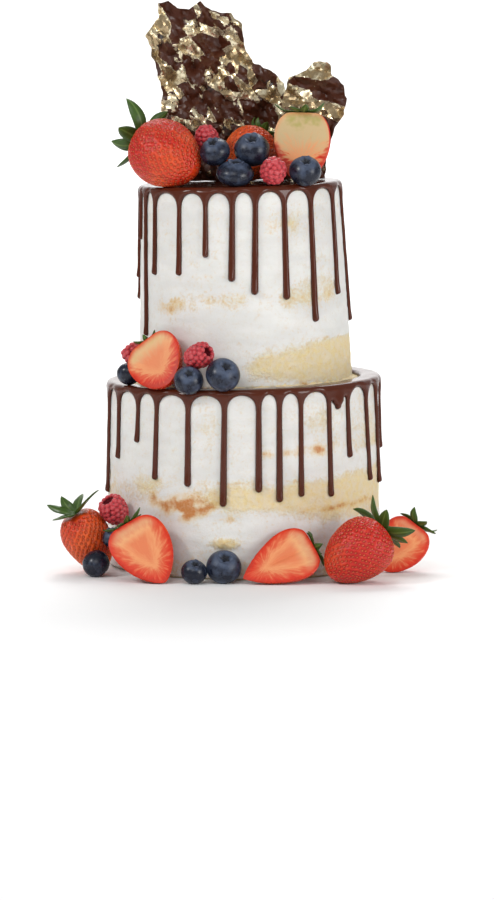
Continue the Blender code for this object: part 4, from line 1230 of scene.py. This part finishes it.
def make_raspberry(node, number, sizes, material):
    """A raspberry: rows of beads round a hollow."""
    (length, width), axis = RASPBERRIES[node]
    length, width = length * MM, width * MM
    bead = sizes.drupelet
    inset = 1 - 0.55 * bead / (width / 2)
    outline = np.array(RASPBERRY_OUTER + RASPBERRY_HOLLOW)
    radii, ups = outline[:, 0] * width / 2 * inset, (outline[:, 1] - 0.5) * length
    at = np.concatenate([[0], np.cumsum(np.hypot(np.diff(radii), np.diff(ups)))])
    fine = np.linspace(0, at[-1], RASPBERRY_RINGS)[1:]
    radii, ups = np.interp(fine, at, radii), np.interp(fine, at, ups)
    for _ in range(3):
        radii[1:-1] = (radii[:-2] + 2 * radii[1:-1] + radii[2:]) / 4
        ups[1:-1] = (ups[:-2] + 2 * ups[1:-1] + ups[2:]) / 4
    turns = circle(RASPBERRY_SIDES)
    across, along = radii[:, None] * np.cos(turns), radii[:, None] * np.sin(turns)
    grid = np.stack([across, along, ups[:, None] + 0 * turns], axis=2)
    normals = grid_normals(grid)
    rng = random.Random(number)
    middles, row = [], 0
    reach = bead * 0.5
    while reach < at[len(RASPBERRY_OUTER)]:
        radius, up = np.interp(reach, fine, radii), np.interp(reach, fine, ups)
        around = max(3, round(math.tau * radius / (BEAD_SPREAD * bead)))
        for turn in circle(around, 0.5 * (row % 2)):
            turn += rng.uniform(-0.06, 0.06)
            size = bead * rng.uniform(0.92, 1.08)
            middles.append((radius * math.cos(turn), radius * math.sin(turn), up, size))
        reach += BEAD_ROW * bead
        row += 1
    raised = np.zeros(grid.shape[:2])
    for x, y, z, size in middles:
        apart = ((grid - (x, y, z)) ** 2).sum(axis=2)
        raised = np.maximum(raised, np.sqrt(np.maximum(size**2 - apart, 0)))
    grid = grid + normals * (raised - BEAD_SINK * bead)[..., None]
    bottom, top = grid[0].mean(axis=0, keepdims=True), grid[-1].mean(axis=0, keepdims=True)
    points, faces = loft([bottom, *grid, top])
    raised = np.pad((raised / bead).ravel(), (1, 1), constant_values=(1, 0))
    turn = turned(axis)
    placed = points @ turn.T + lay(points, turn, node)
    obj = make_mesh(f"{node}_fruit", placed, faces, [material], {"raised": raised})
    stand_for(node)


def raspberry_finish(colours):
    """Soft beads, paler pink in patches on their tops, with painted shade in deep red between them."""
    finish = Finish("raspberry bead")
    raised = finish.attribute("raised")
    cloud = finish.noise(4 * MM, 2)
    # Painted shade: deep red where the beads meet, below their tops.
    colour = finish.mix(finish.step(raised, 0.2, 0.9), (0.2, 0.01, 0.02), colours.raspberry)
    colour = finish.mix(0.5 * finish.step(raised, 0.75, 1.05) * cloud, colour, (0.7, 0.22, 0.24))
    finish.set(Sheen_Weight=0.12, Subsurface_Weight=0.12, Subsurface_Scale=2 * MM)
    return finish.set(Base_Color=colour, Roughness=0.38)


# Sails


def fold(x, z, seed):
    """How far forward or back a crumpled sail lies, at these places on it."""
    total = np.zeros(len(x))
    for size, depth in SAIL_FOLDS:
        places = np.stack([x / size + seed, np.full(len(x), seed), z / size], axis=1)
        total += depth * (1 - SAIL_SHARPNESS * np.abs(noise_at(places, 1.0)))
    return total


def crease(places, size, rng):
    """Leaning hollows with sharp ridges between: heights, each hollow's tone, and room to the ridge."""
    low, high = places.min(axis=0) - size, places.max(axis=0) + size
    across, up = np.meshgrid(*(np.arange(start, end, size) for start, end in zip(low, high)))
    middles = np.stack([across.ravel(), up.ravel()], axis=1)
    middles += rng.uniform(-0.5, 0.5, middles.shape) * size
    lean = rng.uniform(-1.4, 1.4, middles.shape)
    tone = rng.uniform(0, 1, len(middles))
    apart = (places[:, None] - middles) / size
    heights = (apart * (apart + lean)).sum(axis=2)
    lowest, following = np.partition(heights, 1, axis=1)[:, :2].T
    return lowest, tone[heights.argmin(axis=1)], np.clip((following - lowest) / 0.3, 0, 1)


def make_sail(node, sizes, material):
    """A crumpled sheet of chocolate, with gold leaf on its ridges."""
    seed = SAIL_SEEDS[node]
    rng = random.Random(seed)
    loop = split_long(np.array(SAILS[node]) * MM, SAIL_GRID)
    ragged = noise_at(np.stack([loop[:, 0], loop[:, 0] * 0, loop[:, 1]], axis=1), 4 * MM, seed)
    loop = loop + SAIL_RAG * ragged[:, None] * (loop[:, 1:] > 2 * MM)
    low, high = loop.min(axis=0), loop.max(axis=0)
    grid = []
    for row in range(int((high[1] - low[1]) / SAIL_GRID) + 1):
        for column in range(int((high[0] - low[0]) / SAIL_GRID) + 1):
            x = low[0] + (column + 0.5 * (row % 2)) * SAIL_GRID + rng.uniform(-1, 1) * SAIL_JITTER
            z = low[1] + (row + 0.5) * SAIL_GRID + rng.uniform(-1, 1) * SAIL_JITTER
            grid.append((x, z))
    grid = np.array(grid)
    clear = inside(loop, grid[:, 0], grid[:, 1]) & (distance_to([loop], grid) > 0.4 * SAIL_GRID)
    flat, faces, _ = fill([loop], grid[clear])
    box_low, box_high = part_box(node)
    middle_y = (box_low[1] + box_high[1]) / 2
    depth = fold(flat[:, 0], flat[:, 1], seed)
    middle_y -= (depth.max() + depth.min()) / 2
    grain, dice = math.radians(SAIL_GRAIN[node]), np.random.default_rng(seed)
    lengthwise = np.array((math.cos(grain), math.sin(grain)))
    slant = np.stack([flat @ lengthwise * CREASE_STRETCH, flat @ (-lengthwise[1], lengthwise[0])], axis=1)
    creases = [crease(slant, size, dice) for size, _ in CREASES]
    for (height, _, _), (_, share) in zip(creases, CREASES):
        depth = depth - sizes.crumple * share * (height - height.mean())
    top = UPPER_TIER.floor_z + UPPER_TIER.height + 2 * GAP + GANACHE
    top = top + TOP_SLOPE * (flat[:, 0] - UPPER_RIM_X)
    sheet = np.stack([flat[:, 0], depth + middle_y, top + flat[:, 1]], axis=1)
    count = len(sheet)
    offset = np.array((0, sizes.sail / 2, 0))
    back = [tuple(int(i) + count for i in reversed(face)) for face in faces]
    front = [tuple(int(i) for i in face) for face in faces]
    sides = {side for a, b, c in front for side in ((a, b), (b, c), (c, a))}
    border = sorted((start, end) for start, end in sides if (end, start) not in sides)
    edge = [(end, start, start + count, end + count) for start, end in border]
    (_, broad, room), (_, narrow, gap), _ = creases
    gold = 0.5 + 0.7 * (broad - 0.5) * room + 0.7 * (narrow - 0.5) * gap
    gold = gold + 0.3 * noise_at(sheet, 18 * MM, seed) + 0.2 * (flat[:, 1] / high[1] - 0.5)
    ridge = 1 - np.minimum(room, 0.4 + 0.6 * gap)
    # tone sets each facet's painted shade, and ridge places painted highlight and shade along the creases.
    fields = {"gold": gold, "tone": 0.5 * broad + 0.5 * narrow, "ridge": ridge}
    fields = {key: np.tile(values, 2) for key, values in fields.items()}
    points = np.concatenate([sheet - offset, sheet + offset])
    obj = make_mesh(f"{node}_sheet", points, front + back + edge, [material], fields, sharp_angle=24)
    stand_for(node)


def sail_finish(colours):
    """Dark chocolate with torn gold leaf pressed onto it, with painted shade on some facets and painted
    highlight and shade along the creases.
    """
    finish = Finish("gilded chocolate")
    gold, tone, ridge = finish.attribute("gold"), finish.attribute("tone"), finish.attribute("ridge")
    tears = finish.noise(2.4 * MM, 4, 0.6)
    leaf = finish.step(gold + 0.35 * (tears - 0.5), 0.52, 0.56)
    # Painted shade: whole facets darkened at random, as if turned from the light.
    facet_shade = finish.step(tone + 0.7 * (finish.noise(4 * MM, 3) - 0.5), 0.48, 0.78)
    brown = finish.mix(facet_shade, colours.chocolate, (0.01, 0.004, 0.0025))
    # Painted highlight: the chocolate is lightened along the creases, as a rim of light.
    brown = finish.mix(0.4 * finish.step(ridge, 0.5, 1.0), brown, (0.13, 0.05, 0.024))
    bright = finish.mix(0.8 * facet_shade, colours.gold, (0.3, 0.19, 0.08))
    # Painted shade: the gold is darkened along the creases.
    bright = finish.mix(0.4 * finish.step(ridge, 0.6, 1.0), bright, (0.16, 0.09, 0.04))
    colour = finish.mix(leaf, brown, bright)
    finish.bump(finish.noise(1.6 * MM, 4, 0.6), 0.2 * MM, 0.5)
    finish.set(Specular_IOR_Level=0.35)
    return finish.set(Base_Color=colour, Roughness=0.34 - 0.08 * leaf, Metallic=0.8 * leaf)


# Stage


def area_light(name, place, aim, size, power):
    light = bpy.data.lights.new(name, "AREA")
    light.shape = "DISK"
    light.size = size
    light.energy = power
    obj = bpy.data.objects.new(name, light)
    obj.location = place
    obj.rotation_euler = (Vector(aim) - Vector(place)).to_track_quat("-Z", "Y").to_euler()
    bpy.context.scene.collection.objects.link(obj)


class CAKE_OT_stage(bpy.types.Operator):
    """Adds the floor, the lights and the camera"""

    bl_idname = "cake.stage"
    bl_label = "Stage"

    def execute(self, context):
        scene = context.scene
        finish = Finish("floor")
        material = finish.set(Base_Color=scene.cake_colours.floor[:], Roughness=0.8)
        points = [(x, y, z) for y, z in FLOOR_PROFILE for x in (-FLOOR_REACH, FLOOR_REACH)]
        faces = [(2 * i, 2 * i + 1, 2 * i + 3, 2 * i + 2) for i in range(len(FLOOR_PROFILE) - 1)]
        mesh = bpy.data.meshes.new("floor")
        mesh.from_pydata(points, [], faces)
        mesh.materials.append(material)
        mesh.shade_smooth()
        floor = bpy.data.objects.new("floor", mesh)
        scene.collection.objects.link(floor)

        camera = bpy.data.cameras.new("camera")
        camera.lens = CAMERA_LENS
        camera.sensor_width = CAMERA_SENSOR
        obj = bpy.data.objects.new("camera", camera)
        obj.location = CAMERA_PLACE
        obj.rotation_euler = (math.radians(90 - CAMERA_DOWN), 0, 0)
        scene.collection.objects.link(obj)
        scene.camera = obj

        world = bpy.data.worlds.new("soft light")
        world.use_nodes = True
        sky = world.node_tree.nodes["Background"].inputs
        sky["Color"].default_value = (1, 1, 1, 1)
        sky["Strength"].default_value = SKY
        scene.world = world
        for name, spec in LIGHTS.items():
            area_light(name, *spec)
        scene.view_settings.view_transform = "Standard"
        return {"FINISHED"}


class CAKE_OT_layers(bpy.types.Operator):
    """Gives the rounds of sponge and filling their finish"""

    bl_idname = "cake.layers"
    bl_label = "Sponge and filling"

    def execute(self, context):
        colours = context.scene.cake_colours
        sponge = sponge_finish(colours)
        filling = cream_finish(colours)
        for name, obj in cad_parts.items():
            if "_sponge_" in name or "_filling_" in name:
                obj.material_slots[0].material = sponge if "_sponge_" in name else filling
        return {"FINISHED"}


class CAKE_OT_coats(bpy.types.Operator):
    """Adds the scraped coats of buttercream"""

    bl_idname = "cake.coats"
    bl_label = "Buttercream coats"

    def execute(self, context):
        sizes = context.scene.cake_sizes
        material = cream_finish(context.scene.cake_colours)
        for prefix, bead, *shape in (
            ("lower", sizes.bead, LOWER_TIER, LOWER_COAT_START, LOWER_FILLINGS, LOWER_BARE_AND_FOOT_SHADE, LOWER_TOAST_AND_FOOT_SHADE),
            ("upper", 0.0, UPPER_TIER, UPPER_COAT_START, UPPER_FILLINGS, UPPER_BARE, UPPER_TOAST),
        ):
            obj = make_coat(f"{prefix}_coat_scraped", *shape, sizes, material, bead)
            stand_for(f"{prefix}_coat")
        return {"FINISHED"}


class CAKE_OT_ganache(bpy.types.Operator):
    """Adds the ganache on the ledge and on top, with its drips"""

    bl_idname = "cake.ganache"
    bl_label = "Ganache"

    def execute(self, context):
        sizes = context.scene.cake_sizes
        material = ganache_finish(context.scene.cake_colours)
        rng = random.Random(DRIP_SEED)
        for prefix, tier, front, inner in (
            ("lower", LOWER_TIER, LOWER_DRIPS, UPPER_BASE_RADIUS + CREAM_STRIP),
            ("upper", UPPER_TIER, UPPER_DRIPS, 0.0),
        ):
            drips = all_drips(front, rng)
            obj = make_ganache(f"{prefix}_ganache_drips", tier, drips, inner, sizes, material)
            stand_for(f"{prefix}_ganache")
        return {"FINISHED"}


class CAKE_OT_strawberries(bpy.types.Operator):
    """Adds the strawberries, whole and halved, with their seeds and leaves"""

    bl_idname = "cake.strawberries"
    bl_label = "Strawberries"

    def execute(self, context):
        sizes, colours = context.scene.cake_sizes, context.scene.cake_colours
        looks = {"skin": strawberry_finish, "seed": seed_finish, "leaf": leaf_finish}
        materials = {key: look(colours) for key, look in looks.items()}
        for number, node in enumerate(STRAWBERRIES, 1):
            make_strawberry(node, number, sizes, materials)
        for number, (node, spec) in enumerate(HALVES.items(), 1):
            flesh = flesh_finish(f"cut flesh {number}", colours, spec[-1])
            make_half(node, number, sizes, materials, flesh)
        return {"FINISHED"}


class CAKE_OT_blueberries(bpy.types.Operator):
    """Adds the blueberries"""

    bl_idname = "cake.blueberries"
    bl_label = "Blueberries"

    def execute(self, context):
        material = blueberry_finish(context.scene.cake_colours)
        for number, node in enumerate(BLUEBERRIES, 1):
            make_blueberry(node, number, material)
        return {"FINISHED"}


class CAKE_OT_raspberries(bpy.types.Operator):
    """Adds the raspberries"""

    bl_idname = "cake.raspberries"
    bl_label = "Raspberries"

    def execute(self, context):
        material = raspberry_finish(context.scene.cake_colours)
        for number, node in enumerate(RASPBERRIES, 1):
            make_raspberry(node, number, context.scene.cake_sizes, material)
        return {"FINISHED"}


class CAKE_OT_sails(bpy.types.Operator):
    """Adds the crumpled sails of gilded chocolate"""

    bl_idname = "cake.sails"
    bl_label = "Chocolate sails"

    def execute(self, context):
        material = sail_finish(context.scene.cake_colours)
        for node in SAILS:
            make_sail(node, context.scene.cake_sizes, material)
        return {"FINISHED"}


OPERATORS = (
    CAKE_OT_stage,
    CAKE_OT_layers,
    CAKE_OT_coats,
    CAKE_OT_ganache,
    CAKE_OT_strawberries,
    CAKE_OT_blueberries,
    CAKE_OT_raspberries,
    CAKE_OT_sails,
)


class CAKE_PT_panel(bpy.types.Panel):
    """Lists the cake's settings and pieces"""

    bl_idname = "CAKE_PT_panel"
    bl_label = "Layer Cake"
    bl_space_type = "VIEW_3D"
    bl_region_type = "UI"
    bl_category = "Cake"

    def draw(self, context):
        for group in (context.scene.cake_sizes, context.scene.cake_colours):
            for key in group.bl_rna.properties.keys():
                if key not in ("rna_type", "name"):
                    self.layout.prop(group, key)
        for operator in OPERATORS:
            self.layout.operator(operator.bl_idname)


CLASSES = (CakeSizes, CakeColours, *OPERATORS, CAKE_PT_panel)


def register():
    for cls in CLASSES:
        bpy.utils.register_class(cls)
    bpy.types.Scene.cake_sizes = bpy.props.PointerProperty(type=CakeSizes)
    bpy.types.Scene.cake_colours = bpy.props.PointerProperty(type=CakeColours)


def unregister():
    del bpy.types.Scene.cake_colours
    del bpy.types.Scene.cake_sizes
    for cls in reversed(CLASSES):
        bpy.utils.unregister_class(cls)


def main():
    register()
    bpy.ops.cake.stage()
    bpy.ops.cake.layers()
    bpy.ops.cake.coats()
    bpy.ops.cake.ganache()
    bpy.ops.cake.strawberries()
    bpy.ops.cake.blueberries()
    bpy.ops.cake.raspberries()
    bpy.ops.cake.sails()


if __name__ == "__main__":
    main()
